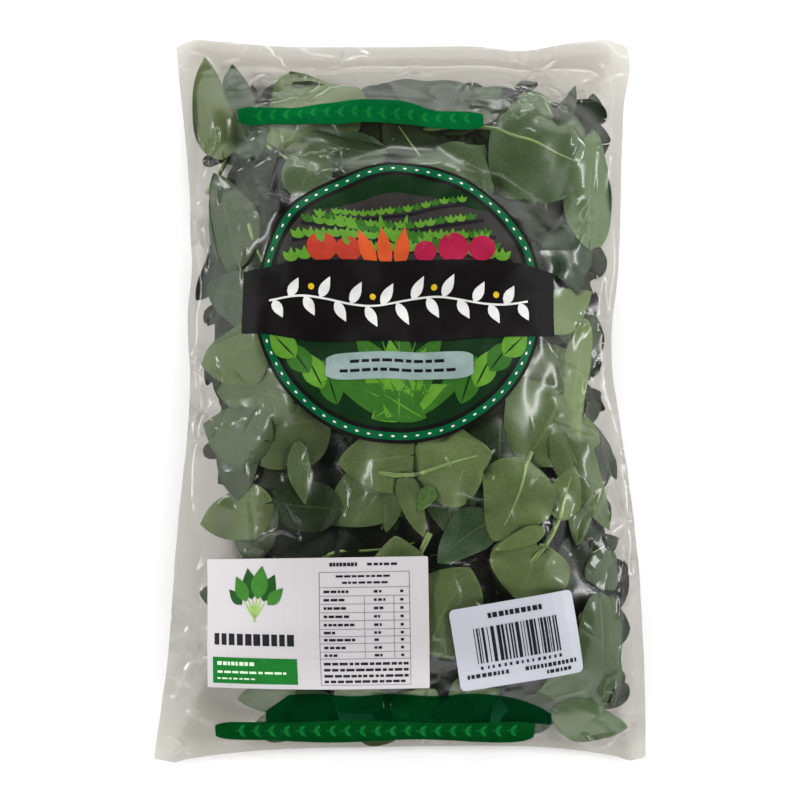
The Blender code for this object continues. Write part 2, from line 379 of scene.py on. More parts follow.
# The upper end, from left to right
shown_leaf(stem=(222, 150), tip=(205, 57), width=23, deep=1.6, under=0.9, tone=0.55, warmth=0.75,
           fold=-0.25, **FINE)
shown_leaf(stem=(252, 152), tip=(232, 64), width=26, deep=2.6, under=0.3, tone=0.44, warmth=0.2,
           roll=0.4)
shown_leaf(stem=(330, 142), tip=(288, 71), width=56, deep=3.6, under=0.9, tone=0.58, warmth=0.7, **FINE)
shown_leaf(stem=(380, 152), tip=(300, 134), width=32, deep=3.2, under=0.7, tone=0.44, warmth=0.2,
           roll=-0.5)
shown_leaf(stem=(300, 192), tip=(322, 140), width=26, deep=1.8, under=0.8, tone=0.53, warmth=0.2,
           fold=0.3)
shown_leaf(stem=(470, 112), tip=(390, 80), width=36, deep=3.4, under=0.1, tone=0.37, warmth=0.3, **FINE)
shown_leaf(stem=(440, 122), tip=(503, 84), width=30, deep=4.2, under=0.6, tone=0.44, warmth=0.2)
shown_leaf(stem=(500, 128), tip=(600, 172), width=66, deep=2.4, under=0.72, tone=0.55, warmth=0.2,
           stalk=58, bend=42, cup=-0.12, **FINE)
shown_leaf(stem=(428, 205), tip=(484, 142), width=50, deep=4.6, under=0.8, tone=0.53, warmth=0.2, **FINE)
shown_leaf(stem=(590, 240), tip=(594, 128), width=28, deep=1.6, under=0.9, tone=0.65, warmth=0.2,
           fold=-0.2, **FINE)
shown_leaf(stem=(560, 118), tip=(576, 84), width=9, deep=2.2, under=0.1, tone=0.31, warmth=0.7)

# The left side, downwards
shown_leaf(stem=(236, 262), tip=(214, 172), width=32, deep=2.2, under=0.6, tone=0.43, warmth=0.35,
           roll=0.35, **FINE)
shown_leaf(stem=(228, 236), tip=(196, 300), width=20, deep=3.4, under=0.0, tone=0.24, warmth=0.35)
shown_leaf(stem=(275, 300), tip=(206, 286), width=32, deep=1.6, under=0.1, tone=0.48, warmth=0.2, **FINE)
shown_leaf(stem=(262, 340), tip=(201, 364), width=36, deep=1.5, under=0.7, tone=0.57, warmth=0.8,
           roll=-0.4, **FINE)
shown_leaf(stem=(292, 402), tip=(216, 390), width=32, deep=2.2, under=0.9, tone=0.53, warmth=0.35,
           **FINE)
shown_leaf(stem=(264, 440), tip=(203, 424), width=32, deep=1.5, under=0.7, tone=0.47, warmth=0.35,
           **FINE)
shown_leaf(stem=(322, 418), tip=(226, 442), width=46, deep=2.8, under=1.0, tone=0.41, warmth=0.6, **FINE)
shown_leaf(stem=(240, 440), tip=(238, 500), width=24, deep=1.5, under=0.3, tone=0.43, warmth=0.35,
           fold=0.3)
shown_leaf(stem=(300, 455), tip=(244, 492), width=34, deep=4.4, under=0.6, tone=0.24, warmth=0.35)
shown_leaf(stem=(298, 446), tip=(305, 504), width=11, deep=1.3, under=0.9, tone=0.52, warmth=0.35)
shown_leaf(stem=(332, 508), tip=(262, 500), width=26, deep=2.6, under=0.0, tone=0.36, warmth=0.8)
shown_leaf(stem=(264, 504), tip=(200, 524), width=27, deep=1.5, under=0.8, tone=0.53, warmth=0.85,
           **FINE)
shown_leaf(stem=(250, 500), tip=(252, 566), width=27, deep=2.3, under=0.5, tone=0.39, warmth=0.35)
shown_leaf(stem=(332, 530), tip=(260, 546), width=34, deep=5.4, under=0.2, tone=0.17, warmth=0.1)
shown_leaf(stem=(342, 440), tip=(300, 506), width=34, deep=5.4, under=0.2, tone=0.19, warmth=0.1)

# The middle, below the badge
shown_leaf(stem=(410, 455), tip=(338, 462), width=32, deep=1.6, under=0.8, tone=0.6, **FINE)
shown_leaf(stem=(426, 470), tip=(322, 522), width=36, deep=2.7, under=0.7, tone=0.52, **FINE)
shown_leaf(stem=(424, 472), tip=(492, 452), width=42, deep=1.5, under=0.9, tone=0.66, stalk=22,
           bend=-30, **FINE)
shown_leaf(stem=(560, 395), tip=(522, 464), width=54, deep=1.8, under=0.7, tone=0.6, **FINE)
shown_leaf(stem=(500, 420), tip=(500, 475), width=38, deep=3.2, under=0.0, tone=0.36)
shown_leaf(stem=(526, 466), tip=(494, 541), width=37, deep=1.3, under=0.8, tone=0.64, fold=-0.1,
           stalk=8, **FINE)
shown_leaf(stem=(561, 514), tip=(575, 467), width=18, deep=1.3, under=0.9, tone=0.62, stalk=28, bend=-25)
shown_leaf(stem=(538, 546), tip=(520, 602), width=42, deep=1.5, under=0.9, tone=0.6, **FINE)
shown_leaf(stem=(581, 478), tip=(577, 546), width=15, deep=1.8, under=0.6, tone=0.55, fold=0.4)
shown_leaf(stem=(560, 428), tip=(610, 530), width=22, deep=1.5, under=0.7, tone=0.55, fold=0.45, **FINE)
shown_leaf(stem=(456, 478), tip=(450, 536), width=25, deep=2.2, under=0.0, tone=0.45)
shown_leaf(stem=(493, 520), tip=(438, 563), width=24, deep=2.0, under=0.3, tone=0.55, warmth=0.1,
           roll=0.3)
shown_leaf(stem=(432, 488), tip=(418, 512), width=8, deep=1.2, under=0.0, tone=0.95, warmth=1.0)
shown_leaf(stem=(396, 478), tip=(386, 532), width=11, deep=1.8, under=0.6, tone=0.48)
shown_leaf(stem=(404, 478), tip=(424, 537), width=12, deep=1.5, under=0.8, tone=0.56)
shown_leaf(stem=(402, 582), tip=(395, 536), width=27, deep=1.8, under=0.8, tone=0.58)
shown_leaf(stem=(541, 531), tip=(495, 550), width=9, deep=1.1, under=0.9, tone=0.7)
shown_leaf(stem=(430, 645), tip=(470, 568), width=46, deep=1.8, under=0.8, tone=0.56, **FINE)

# The right side, downwards
shown_leaf(stem=(562, 228), tip=(578, 292), width=28, deep=1.9, under=0.0, tone=0.42, warmth=0.3, **FINE)
shown_leaf(stem=(545, 322), tip=(592, 291), width=22, deep=1.9, under=0.9, tone=0.7)
shown_leaf(stem=(602, 342), tip=(558, 330), width=28, deep=2.8, under=0.2, tone=0.4, roll=0.4)
shown_leaf(stem=(540, 350), tip=(566, 426), width=42, deep=2.3, under=0.4, tone=0.5, warmth=0.8, **FINE)
shown_leaf(stem=(586, 330), tip=(580, 442), width=15, deep=1.3, under=0.9, tone=0.74, fold=-0.3)
shown_leaf(stem=(600, 598), tip=(600, 714), width=24, deep=1.5, under=0.3, tone=0.52, warmth=0.7, **FINE)
shown_leaf(stem=(592, 690), tip=(534, 700), width=36, deep=1.8, under=0.8, tone=0.52, warmth=0.2, **FINE)
shown_leaf(stem=(560, 714), tip=(628, 728), width=22, deep=1.3, under=1.0, tone=0.6, warmth=0.2)
shown_leaf(stem=(228, 602), tip=(199, 592), width=15, deep=1.8, under=0.5, tone=0.34, warmth=0.2)
shown_leaf(stem=(596, 556), tip=(616, 590), width=20, deep=2.2, under=0.8, tone=0.43, warmth=0.2)
shown_leaf(stem=(592, 640), tip=(615, 596), width=22, deep=2.6, under=0.9, tone=0.53, warmth=0.2, **FINE)
shown_leaf(stem=(602, 650), tip=(617, 690), width=18, deep=1.8, under=0.7, tone=0.52, warmth=0.2,
           fold=0.2)
shown_leaf(stem=(560, 560), tip=(600, 566), width=24, deep=3.0, under=0.2, tone=0.26, warmth=0.2)

# The lower end, under the large label and beside it
shown_leaf(stem=(290, 690), tip=(238, 700), width=20, deep=1.4, under=0.6, tone=0.5)
shown_leaf(stem=(330, 715), tip=(282, 700), width=22, deep=1.4, under=0.3, tone=0.4)
shown_leaf(stem=(340, 690), tip=(384, 708), width=24, deep=1.6, under=0.8, tone=0.5)
shown_leaf(stem=(402, 722), tip=(436, 690), width=26, deep=1.4, under=0.9, tone=0.58)
shown_leaf(stem=(470, 712), tip=(430, 716), width=20, deep=1.3, under=0.4, tone=0.4)
shown_leaf(stem=(452, 700), tip=(500, 694), width=24, deep=1.5, under=0.8, tone=0.5)
shown_leaf(stem=(552, 708), tip=(500, 722), width=22, deep=1.3, under=0.2, tone=0.35)
shown_leaf(stem=(260, 726), tip=(310, 732), width=16, deep=1.0, under=0.7, tone=0.5)
shown_leaf(stem=(360, 734), tip=(410, 728), width=16, deep=1.0, under=0.5, tone=0.45)

for _, stem_end, tip, width, form in sorted(to_show, key=lambda leaf: leaf[0]):
    make_leaf(shown, from_front, stem_end, tip, width, **form)


EMPTY_CORNER = (-80 * MM, -58 * MM)
LEAVES_END, LEAVES_START = 166 * MM, -179 * MM
WIDTH_SHARES = (0.6, 0.85)


def leaves_reach(x, y):
    """True where leaves lie: not in the empty corner at the lower left, nor at the two ends."""
    in_empty_corner = (y < EMPTY_CORNER[1]) & (x < EMPTY_CORNER[0])
    return ~in_empty_corner & (y < LEAVES_END) & (y > LEAVES_START)


def scatter(heap, side, spacing, deeps, tones, least_room, lengths, rows, cols, stalks=(0,)):
    """Leaves at every angle on an uneven grid over the bag. Sizes and depths are in mm."""
    for base_y in np.arange(low.y, high.y, spacing * MM):
        for base_x in np.arange(low.x, high.x, spacing * MM):
            middle = np.array((base_x, base_y)) + draw.uniform(0, spacing * MM, 2)
            angle, length = draw.uniform(0, 2 * math.pi), draw.uniform(*lengths) * MM
            ahead = np.array((math.cos(angle), math.sin(angle))) * length / 2
            aside = np.array((-ahead[1], ahead[0])) * draw.uniform(*WIDTH_SHARES)
            form = {
                "deep": draw.uniform(*deeps),
                "under": draw.random(),
                "tone": draw.uniform(*tones),
                "warmth": draw.random(),
                "fold": draw.uniform(-0.2, 0.2),
                "roll": draw.choice((0, 0, 0, 0.4, -0.4)),
                "lean": draw.uniform(-2.5, 2.5),
                "rise": draw.uniform(-4, 4),
                "stalk": draw.choice(stalks),
                "bend": draw.uniform(-40, 40),
                "rows": rows,
                "cols": cols,
            }
            reach = np.array([middle - ahead, middle + ahead, middle - aside, middle + aside, middle])
            stalk_tip = middle - ahead * (1 + 2 * form["stalk"] * MM / length)
            if not leaves_reach(*stalk_tip) or read_map(room, *stalk_tip) < STALK_ROOM:
                form["stalk"] = 0
            if leaves_reach(*reach.T).all() and (read_map(room, *reach.T) > least_room * MM).all():
                make_leaf(heap, side, middle - ahead, middle + ahead, 2 * np.linalg.norm(aside), **form)


upper, small, inner, lower = ({"leaves": [], "stalks": []} for _ in range(4))
scatter(upper, from_front, spacing=22, deeps=(2.5, 7), tones=(0.2, 0.6), least_room=11,
        lengths=(28, 52), rows=16, cols=13, stalks=(0, 0, 0, 16, 26))
scatter(small, from_front, spacing=16, deeps=(2, 5), tones=(0.25, 0.6), least_room=7,
        lengths=(16, 28), rows=11, cols=8)
scatter(small, from_front, spacing=15, deeps=(1, 3), tones=(0.3, 0.6), least_room=4.5,
        lengths=(12, 20), rows=9, cols=7)
# The inner leaves also get lower tones: painted shade deeper in the heap.
scatter(inner, from_front, spacing=26, deeps=(9, 15), tones=(0.12, 0.4), least_room=20,
        lengths=(34, 58), rows=11, cols=9)
scatter(lower, from_back, spacing=25, deeps=(1.5, 8), tones=(0.3, 0.65), least_room=11,
        lengths=(32, 58), rows=12, cols=9)


def joined(parts):
    """Several meshes as one: all points, and the triangles counted on."""
    points, triangles, count = [], [], 0
    for part in parts:
        points.append(part[0])
        triangles.append(part[1] + count)
        count += len(part[0])
    return np.concatenate(points), np.concatenate(triangles)


def add_piece(name, points, triangles, material, edge_angle=LEAF_EDGE_ANGLE):
    """A smooth-shaded object of these triangles that belongs to the bag."""
    mesh = bpy.data.meshes.new(name)
    mesh.from_pydata(points.tolist(), [], triangles.tolist())
    mesh.materials.append(material)
    mesh.shade_smooth()
    mesh.set_sharp_from_angle(angle=edge_angle)
    piece = bpy.data.objects.new(name, mesh)
    bpy.context.scene.collection.objects.link(piece)
    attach(piece, "root")
    return piece


def node_adder(tree):
    """Clears a node tree and gives a function that adds one node and joins its inputs."""
    tree.nodes.clear()

    def add(kind, settings=None, **inputs):
        node = tree.nodes.new(kind)
        for key, value in (settings or {}).items():
            setattr(node, key, value)
        for key, value in inputs.items():
            by_number = key[0] == "i" and key[1:].isdigit()
            socket = node.inputs[int(key[1:]) if by_number else key.replace("_", " ")]
            if isinstance(value, bpy.types.NodeSocket):
                tree.links.new(value, socket)
            else:
                socket.default_value = value
        return node

    return add


def new_material(name):
    """An empty material, and the function that adds its nodes."""
    material = bpy.data.materials.new(name)
    material.use_nodes = True
    return material, node_adder(material.node_tree)


def linear(red, green, blue):
    """A colour for a shader from the 0 to 255 values that a screen shows."""
    def one(value):
        value = value / 255
        return value / 12.92 if value <= 0.04045 else ((value + 0.055) / 1.055) ** 2.4
    return (one(red), one(green), one(blue), 1)


def maths(add, operation, first, second=0.0, third=0.0, clamp=False):
    """One step of reckoning between the values in a shader."""
    settings = {"operation": operation, "use_clamp": clamp}
    return add("ShaderNodeMath", settings, i0=first, i1=second, i2=third).outputs[0]


def product(add, value, *others):
    """Two or more values times each other."""
    for other in others:
        value = maths(add, "MULTIPLY", value, other)
    return value


def scaled(add, value, scale, shift, clamp=False):
    """A value times a scale, plus a shift."""
    return maths(add, "MULTIPLY_ADD", value, scale, shift, clamp)


def rest_of_one(add, value):
    """1 less the value, and 0 where that falls below."""
    return maths(add, "SUBTRACT", 1.0, value, clamp=True)


def noise(add, where, scale, detail, **more):
    """A cloudy pattern over a piece, as a node."""
    return add("ShaderNodeTexNoise", Vector=where, Scale=scale, Detail=detail, **more)


def blended(add, share, first, second, kind="MIX"):
    """Two colours as one, with the second by its share."""
    settings = {"data_type": "RGBA", "blend_type": kind}
    return add("ShaderNodeMix", settings, i0=share, i6=first, i7=second).outputs[2]


LEAF_UPPER = linear(64, 98, 40)
LEAF_UPPER_COOL = linear(46, 88, 54)
LEAF_UNDER = linear(110, 143, 98)
LEAF_UNDER_WARM = linear(142, 160, 90)
LEAF_VEIN = linear(160, 184, 118)
LEAF_SPOT = linear(40, 62, 26)
RIB_HALF_WIDTH, RIB_THINS_BY = 0.06, -0.045
BRANCH_FINENESS, BRANCH_PALER = 9.0, 0.55
SPOTTED, NET_SHOWS, VEINS_SHOW = 0.34, 0.10, 0.5


def leaf_material(name, brightness_and_painted_shade, shine):
    """Leaf skin: veins along the leaf's own lines, mottling, and a paler duller underside. Its
    brightness scales the whole skin, and the low ones paint shade on the deeper leaves.
    """
    material, add = new_material(name)
    place = add("ShaderNodeAttribute", {"attribute_name": "place"}).outputs["Vector"]
    tint = add("ShaderNodeAttribute", {"attribute_name": "tint"}).outputs["Vector"]
    along, across, under = add("ShaderNodeSeparateXYZ", i0=place).outputs[:3]
    tone, warmth, own = add("ShaderNodeSeparateXYZ", i0=tint).outputs[:3]

    # The midrib thins towards the tip, and the side veins branch off it aslant
    offside = maths(add, "ABSOLUTE", scaled(add, across, 2.0, -1.0))
    rib_half = scaled(add, along, RIB_THINS_BY, RIB_HALF_WIDTH)
    rib = rest_of_one(add, maths(add, "DIVIDE", offside, rib_half))
    slant = product(add, maths(add, "POWER", offside, VEIN_CURVE), VEIN_SLANT)
    branching = maths(add, "SUBTRACT", along, slant)
    vein_count = scaled(add, own, MORE_VEINS, FEWEST_VEINS)
    swing = maths(add, "ABSOLUTE", maths(add, "SINE", product(add, branching, vein_count, math.pi)))
    branch = rest_of_one(add, product(add, swing, BRANCH_FINENESS))
    branch = product(add, branch, rest_of_one(add, offside))
    vein = maths(add, "MAXIMUM", rib, product(add, branch, BRANCH_PALER))

    # Broad spots, a fine grain and a net of the smallest veins
    where = add("ShaderNodeTexCoord").outputs["Object"]
    broad = noise(add, where, scale=55.0, detail=3.0, Roughness=0.6).outputs[0]
    fine = noise(add, where, scale=520.0, detail=4.0, Roughness=0.65).outputs[0]
    cells = add("ShaderNodeTexVoronoi", {"feature": "DISTANCE_TO_EDGE"}, Vector=where, Scale=420.0)
    net = rest_of_one(add, product(add, cells.outputs[0], 7.0))
    spots = scaled(add, broad, 1.9, -0.75, clamp=True)

    upper_skin = blended(add, warmth, LEAF_UPPER_COOL, LEAF_UPPER)
    under_skin = blended(add, warmth, LEAF_UNDER, LEAF_UNDER_WARM)
    skin = blended(add, under, upper_skin, under_skin)
    skin = blended(add, product(add, spots, SPOTTED), skin, LEAF_SPOT)
    skin = blended(add, product(add, net, NET_SHOWS), skin, LEAF_VEIN)
    skin = blended(add, product(add, vein, VEINS_SHOW), skin, LEAF_VEIN)
    depth_of_tone = product(add, maths(add, "POWER", tone, 1.6), 2.4)
    # A low brightness darkens the whole skin as painted shade.
    light = product(add, depth_of_tone, scaled(add, fine, 0.5, 0.75), brightness_and_painted_shade)
    gray = add("ShaderNodeCombineColor", i0=light, i1=light, i2=light).outputs[0]
    skin = blended(add, 1.0, skin, gray, "MULTIPLY")

    relief = maths(add, "ADD", product(add, vein, 0.6), product(add, fine, 0.5))
    relief = maths(add, "ADD", relief, product(add, net, 0.25))
    bump = add("ShaderNodeBump", Strength=0.5, Distance=0.5 * MM, Height=relief).outputs[0]
    rough = scaled(add, under, 0.16, 0.42)
    shader = add("ShaderNodeBsdfPrincipled", Base_Color=skin, Roughness=rough, Normal=bump)
    shader.inputs["Specular IOR Level"].default_value = shine
    add("ShaderNodeOutputMaterial", Surface=shader.outputs[0])
    return material


def add_leaves(name, leaves, material):
    """A heap of leaves as one piece. Each point keeps its place on its leaf and the leaf's tone."""
    points, triangles = joined(leaves)
    piece = add_piece(name, points, triangles, material)
    for key, column in (("place", 2), ("tint", 3)):
        values = np.concatenate([leaf[column] for leaf in leaves]).astype(np.float32)
        attribute = piece.data.attributes.new(key, "FLOAT_VECTOR", "POINT")
        attribute.data.foreach_set("vector", values.ravel())
    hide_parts("bag")


# The two darker copies of the skin, for the upper, small and inner leaves, are painted shade on top of
# the shade that falls deeper in the heap.
leaf_skin = leaf_material("spinach_leaf", brightness_and_painted_shade=0.41, shine=0.16)
painted_shade_skin = leaf_material("spinach_leaf_painted_shade", brightness_and_painted_shade=0.13, shine=0.06)
painted_deep_shade_skin = leaf_material("spinach_leaf_painted_deep_shade", brightness_and_painted_shade=0.06, shine=0.02)
add_leaves("shown_leaves", shown["leaves"], leaf_skin)
add_leaves("upper_leaves", upper["leaves"], painted_shade_skin)
add_leaves("small_leaves", small["leaves"], painted_shade_skin)
add_leaves("inner_leaves", inner["leaves"], painted_deep_shade_skin)
add_leaves("lower_leaves", lower["leaves"], leaf_skin)


# Stalks
# The pale juicy stems and midribs of the upper leaves, round and a little ridged along their
# length. Each grows out of its leaf and runs back into the heap.
STALK = linear(104, 128, 68)
STALK_PALE = linear(134, 156, 92)

material, add = new_material("spinach_stalk")
where = add("ShaderNodeTexCoord").outputs["Object"]
streaks = noise(add, where, scale=260.0, detail=3.0).outputs[0]
patches = noise(add, where, scale=40.0, detail=2.0).outputs[0]
skin = blended(add, scaled(add, patches, 2.0, -0.6, clamp=True), STALK, STALK_PALE)
skin = blended(add, product(add, streaks, 0.3), skin, LEAF_UPPER)
bump = add("ShaderNodeBump", Strength=0.3, Distance=0.3 * MM, Height=streaks).outputs[0]
shader = add("ShaderNodeBsdfPrincipled", Base_Color=skin, Roughness=0.38, Normal=bump)
add("ShaderNodeOutputMaterial", Surface=shader.outputs[0])
stalk_piece = add_piece("leaf_stalks", *joined([*shown["stalks"], *upper["stalks"]]), material)
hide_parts("bag")


# Leaf mass
# Deeper in the bag the leaves are pressed together. There the heap is one uneven body, coloured near
# black as painted shade, of which only bits show through the gaps between the leaves round it.
MASS_FROM_TOP, MASS_FROM_BACK = 17 * MM, 9 * MM
MASS_ROUGH = 5 * MM
MASS_THINNEST = 1 * MM
MASS_ACROSS, MASS_ALONG = (0.17, 0.86), (0.15, 0.86)
MASS_ROWS, MASS_COLS = 90, 60
# Both colours of the mass are painted shade, far darker than a leaf's own green.
MASS_PAINTED_SHADE_DARK, MASS_PAINTED_SHADE_LIGHT = linear(12, 19, 9), linear(28, 40, 18)


def two_sided(x, y, top, bottom):
    """The points of a closed sheet from the heights of its two sides over one plan grid."""
    return np.concatenate([
        np.stack([x, y, heights], 2).transpose(1, 0, 2).reshape(-1, 3) for heights in (top, bottom)
    ])


across, along = np.meshgrid(np.linspace(*MASS_ACROSS, MASS_COLS), np.linspace(*MASS_ALONG, MASS_ROWS))
x, y = plan_points(across, along)
bumpy = np.sin(x / (7 * MM)) * np.sin(y / (8 * MM) + 1) + 0.6 * np.sin(x / (3 * MM) + y / (4 * MM))
upper_side = read_map(front, x, y) - MASS_FROM_TOP + MASS_ROUGH / 2 * bumpy
lower_side = read_map(back, x, y) + MASS_FROM_BACK
upper_side = np.maximum(upper_side, lower_side + MASS_THINNEST)
material, add = new_material("leaf_mass_painted_shade")
where = add("ShaderNodeTexCoord").outputs["Object"]
clumps = add("ShaderNodeTexVoronoi", Vector=where, Scale=90.0).outputs["Color"]
clump = add("ShaderNodeSeparateColor", i0=clumps).outputs[0]
skin = blended(add, clump, MASS_PAINTED_SHADE_DARK, MASS_PAINTED_SHADE_LIGHT)
bump = add("ShaderNodeBump", Strength=1.0, Distance=2 * MM, Height=clump).outputs[0]
shader = add("ShaderNodeBsdfPrincipled", Base_Color=skin, Roughness=0.7, Normal=bump)
shader.inputs["Specular IOR Level"].default_value = 0.02
add("ShaderNodeOutputMaterial", Surface=shader.outputs[0])
mass_points = two_sided(x, y, upper_side, lower_side)
mass = add_piece("leaf_mass_painted_shade", mass_points, strips(MASS_COLS, MASS_ROWS), material)
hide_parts("bag")


# Film
# A bag of thin clear film, welded along its edges. It lies on the leaves where they stand
# highest, spans the gaps between them, and keeps sharp little creases from filling and handling.
FILM_OFF_LEAVES = 0.3 * MM
FILM_SAG_MOST = 2.8 * MM
FILM_SAG_STEP = 0.035 * MM
FILM_RELAXING = 70
TAUT_BELOW = 0.3 * MM
LABEL_CLEAR = 6 * MM
PRINT_SOFT_EDGE = 24
PRINT_STIFFENS = 0.75
FILM_COLS, FILM_ROWS = 208, 320
RIM_GAP = 0.12 * MM
BADGE_AT = seen_at(399, 302)
BADGE_TAUT_RADIUS = 78 * MM
TOP_STRIP_AT = seen_at(359, 111)
LOWER_STRIP_AT = seen_at(375, 731)
TOP_STRIP_HALF = (70 * MM, 12 * MM)
LOWER_STRIP_HALF = (86 * MM, 12 * MM)

# The film sinks between the leaves until they hold it up or it has sagged the most it can
near_film = [*shown["leaves"], *shown["stalks"], *upper["leaves"], *upper["stalks"]]
leaf_points, leaf_triangles = joined([*near_film, *small["leaves"], *inner["leaves"]])
leaf_tops = cast_map(BVHTree.FromPolygons(leaf_points.tolist(), leaf_triangles.tolist()), -1)
held_up = np.where(np.isnan(leaf_tops), back, leaf_tops) + FILM_OFF_LEAVES
held_up = np.maximum(held_up, front - FILM_SAG_MOST)
film = front.copy()
for _ in range(FILM_RELAXING):
    film = np.maximum(held_up, (film + four_sides(film).mean(axis=0)) / 2 - FILM_SAG_STEP)
    film = np.minimum(film, front)
film = smoothed(film, 2)


def near_label():
    """1 on and close to a label and 0 further away, so that no crease lifts the paper."""
    near, spread = np.zeros_like(film), 2 * int(LABEL_CLEAR / CELL)
    for node in ("info_label", "barcode_label"):
        covered = ~np.isnan(cast_map(tree_of(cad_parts[node].data), -1))
        near = np.maximum(near, np.clip(3 * smoothed(covered.astype(float), spread), 0, 1))
    return near


def printed_area():
    """1 where ink stiffens the film and keeps it taut, 0 elsewhere, with a soft edge."""
    area = np.hypot(grid_x - BADGE_AT[0], grid_y - BADGE_AT[1]) < BADGE_TAUT_RADIUS
    for at, half in ((TOP_STRIP_AT, TOP_STRIP_HALF), (LOWER_STRIP_AT, LOWER_STRIP_HALF)):
        area = area | ((abs(grid_x - at[0]) < half[0]) & (abs(grid_y - at[1]) < half[1]))
    return smoothed(area.astype(float), PRINT_SOFT_EDGE)


off_labels = 1 - near_label()
printed = printed_area()
film = film * (1 - printed) + (front - TAUT_BELOW) * printed
creases_show = off_labels * (1 - PRINT_STIFFENS * printed)


def crease(path, height, width):
    """Raises a sharp ridge along a path of plan points, lower towards both of its ends."""
    path = np.array(path)
    legs = np.linalg.norm(np.diff(path, axis=0), axis=1)
    travelled = np.concatenate([[0], np.cumsum(legs)])
    near_x = (map_x > path[:, 0].min() - width) & (map_x < path[:, 0].max() + width)
    near_y = (map_y > path[:, 1].min() - width) & (map_y < path[:, 1].max() + width)
    if not near_x.any() or not near_y.any():
        return
    window = np.ix_(near_y, near_x)
    x, y = grid_x[window], grid_y[window]
    lift = np.zeros_like(x)
    for start, end, leg, before in zip(path[:-1], path[1:], legs, travelled):
        way = (end - start) / leg
        onward = np.clip((x - start[0]) * way[0] + (y - start[1]) * way[1], 0, leg)
        away = np.hypot(x - start[0] - onward * way[0], y - start[1] - onward * way[1])
        share = np.clip((before + onward) / travelled[-1], 0.02, 0.98)
        ridge = np.clip(1 - away / width, 0, 1) ** 1.4 * np.sin(math.pi * share) ** 0.6
        lift = np.maximum(lift, ridge)
    film[window] += height * lift * creases_show[window]


# The creases that show: height and width in mm, and the pixels that each runs through
SHOWN_CREASES = (
    (2.2, 3.6, ((570, 528), (586, 500), (604, 482))),
    (1.9, 3.0, ((582, 532), (598, 508), (607, 486))),
    (1.7, 2.8, ((612, 486), (614, 530), (612, 566))),
    (1.6, 2.8, ((621, 560), (619, 590), (616, 622))),
    (1.6, 2.8, ((219, 128), (208, 158), (200, 182))),
    (1.6, 2.8, ((234, 104), (250, 128), (272, 162))),
    (1.9, 3.2, ((250, 176), (263, 196), (287, 206))),
    (1.6, 2.8, ((234, 222), (241, 250), (238, 292))),
    (1.3, 2.8, ((222, 268), (248, 262))),
    (1.3, 2.8, ((322, 150), (366, 148))),
    (1.7, 3.0, ((582, 736), (598, 750), (613, 740))),
    (1.9, 3.2, ((608, 676), (602, 696), (606, 716))),
    (1.3, 2.4, ((598, 690), (604, 702), (598, 712))),
    (1.3, 3.0, ((160, 712), (180, 718), (206, 730))),
    (1.3, 2.6, ((186, 744), (198, 752))),
    (1.2, 3.0, ((190, 54), (202, 58))),
    (1.2, 3.0, ((600, 64), (606, 76))),
    (1.4, 3.0, ((568, 150), (576, 120), (584, 132))),
    (1.4, 3.0, ((604, 110), (600, 160), (598, 210))),
    (1.3, 3.0, ((560, 230), (572, 200), (590, 190))),
    (1.7, 2.8, ((617, 486), (619, 530), (618, 574))),
    (1.6, 2.8, ((604, 62), (612, 96), (606, 140))),
    (1.6, 2.8, ((205, 196), (200, 240), (206, 284))),
    (1.5, 2.8, ((203, 330), (199, 372), (204, 410))),
    (1.5, 2.8, ((612, 240), (606, 290), (609, 330))),
    (1.4, 2.8, ((454, 168), (500, 176), (540, 204))),
    (1.5, 2.6, ((340, 462), (352, 490), (347, 520))),
    (1.5, 2.6, ((545, 596), (600, 640), (612, 660))),
)
for height, width, pixels in SHOWN_CREASES:
    crease([seen_at(*pixel) for pixel in pixels], height * MM, width * MM)

# Where the three low lamps stand, and how softly a fold that mirrors one runs out
RIGHT_LAMP_AT = Vector((0.95, 0.1, 0.5))
LEFT_LAMP_AT = Vector((-0.95, 0.15, 0.5))
FAR_LAMP_AT = Vector((0.1, 0.95, 0.45))
FOLD_EDGE = 1.2 * MM


def shiny_fold(lamp_at, width, path):
    """Flat little facets of film in a row, turned so that each mirrors a lamp to the view."""
    before = film.copy()
    for start, end in zip(path, path[1:]):
        middle, leg = (start + end) / 2, np.linalg.norm(end - start)
        way = (end - start) / leg
        onward = (grid_x - middle[0]) * way[0] + (grid_y - middle[1]) * way[1]
        aside = (grid_y - middle[1]) * way[0] - (grid_x - middle[0]) * way[1]
        past_end = np.maximum(abs(onward) - leg / 2, 0)
        past_side = np.maximum(abs(aside) - width / 2, 0)
        beyond = np.hypot(past_end, past_side)
        place = Vector((*middle, float(read_map(film, *middle))))
        normal = (camera.location - place).normalized() + (lamp_at - place).normalized()
        rise_x, rise_y = -normal.x / normal.z, -normal.y / normal.z
        plane = (grid_x - middle[0]) * rise_x + (grid_y - middle[1]) * rise_y
        on_fold = beyond < CELL
        plane += (np.maximum(held_up, before) - plane)[on_fold].max()
        share = np.clip(1 - beyond / FOLD_EDGE, 0, 1)
        film[:] = np.maximum(film, before * (1 - share) + plane * share)


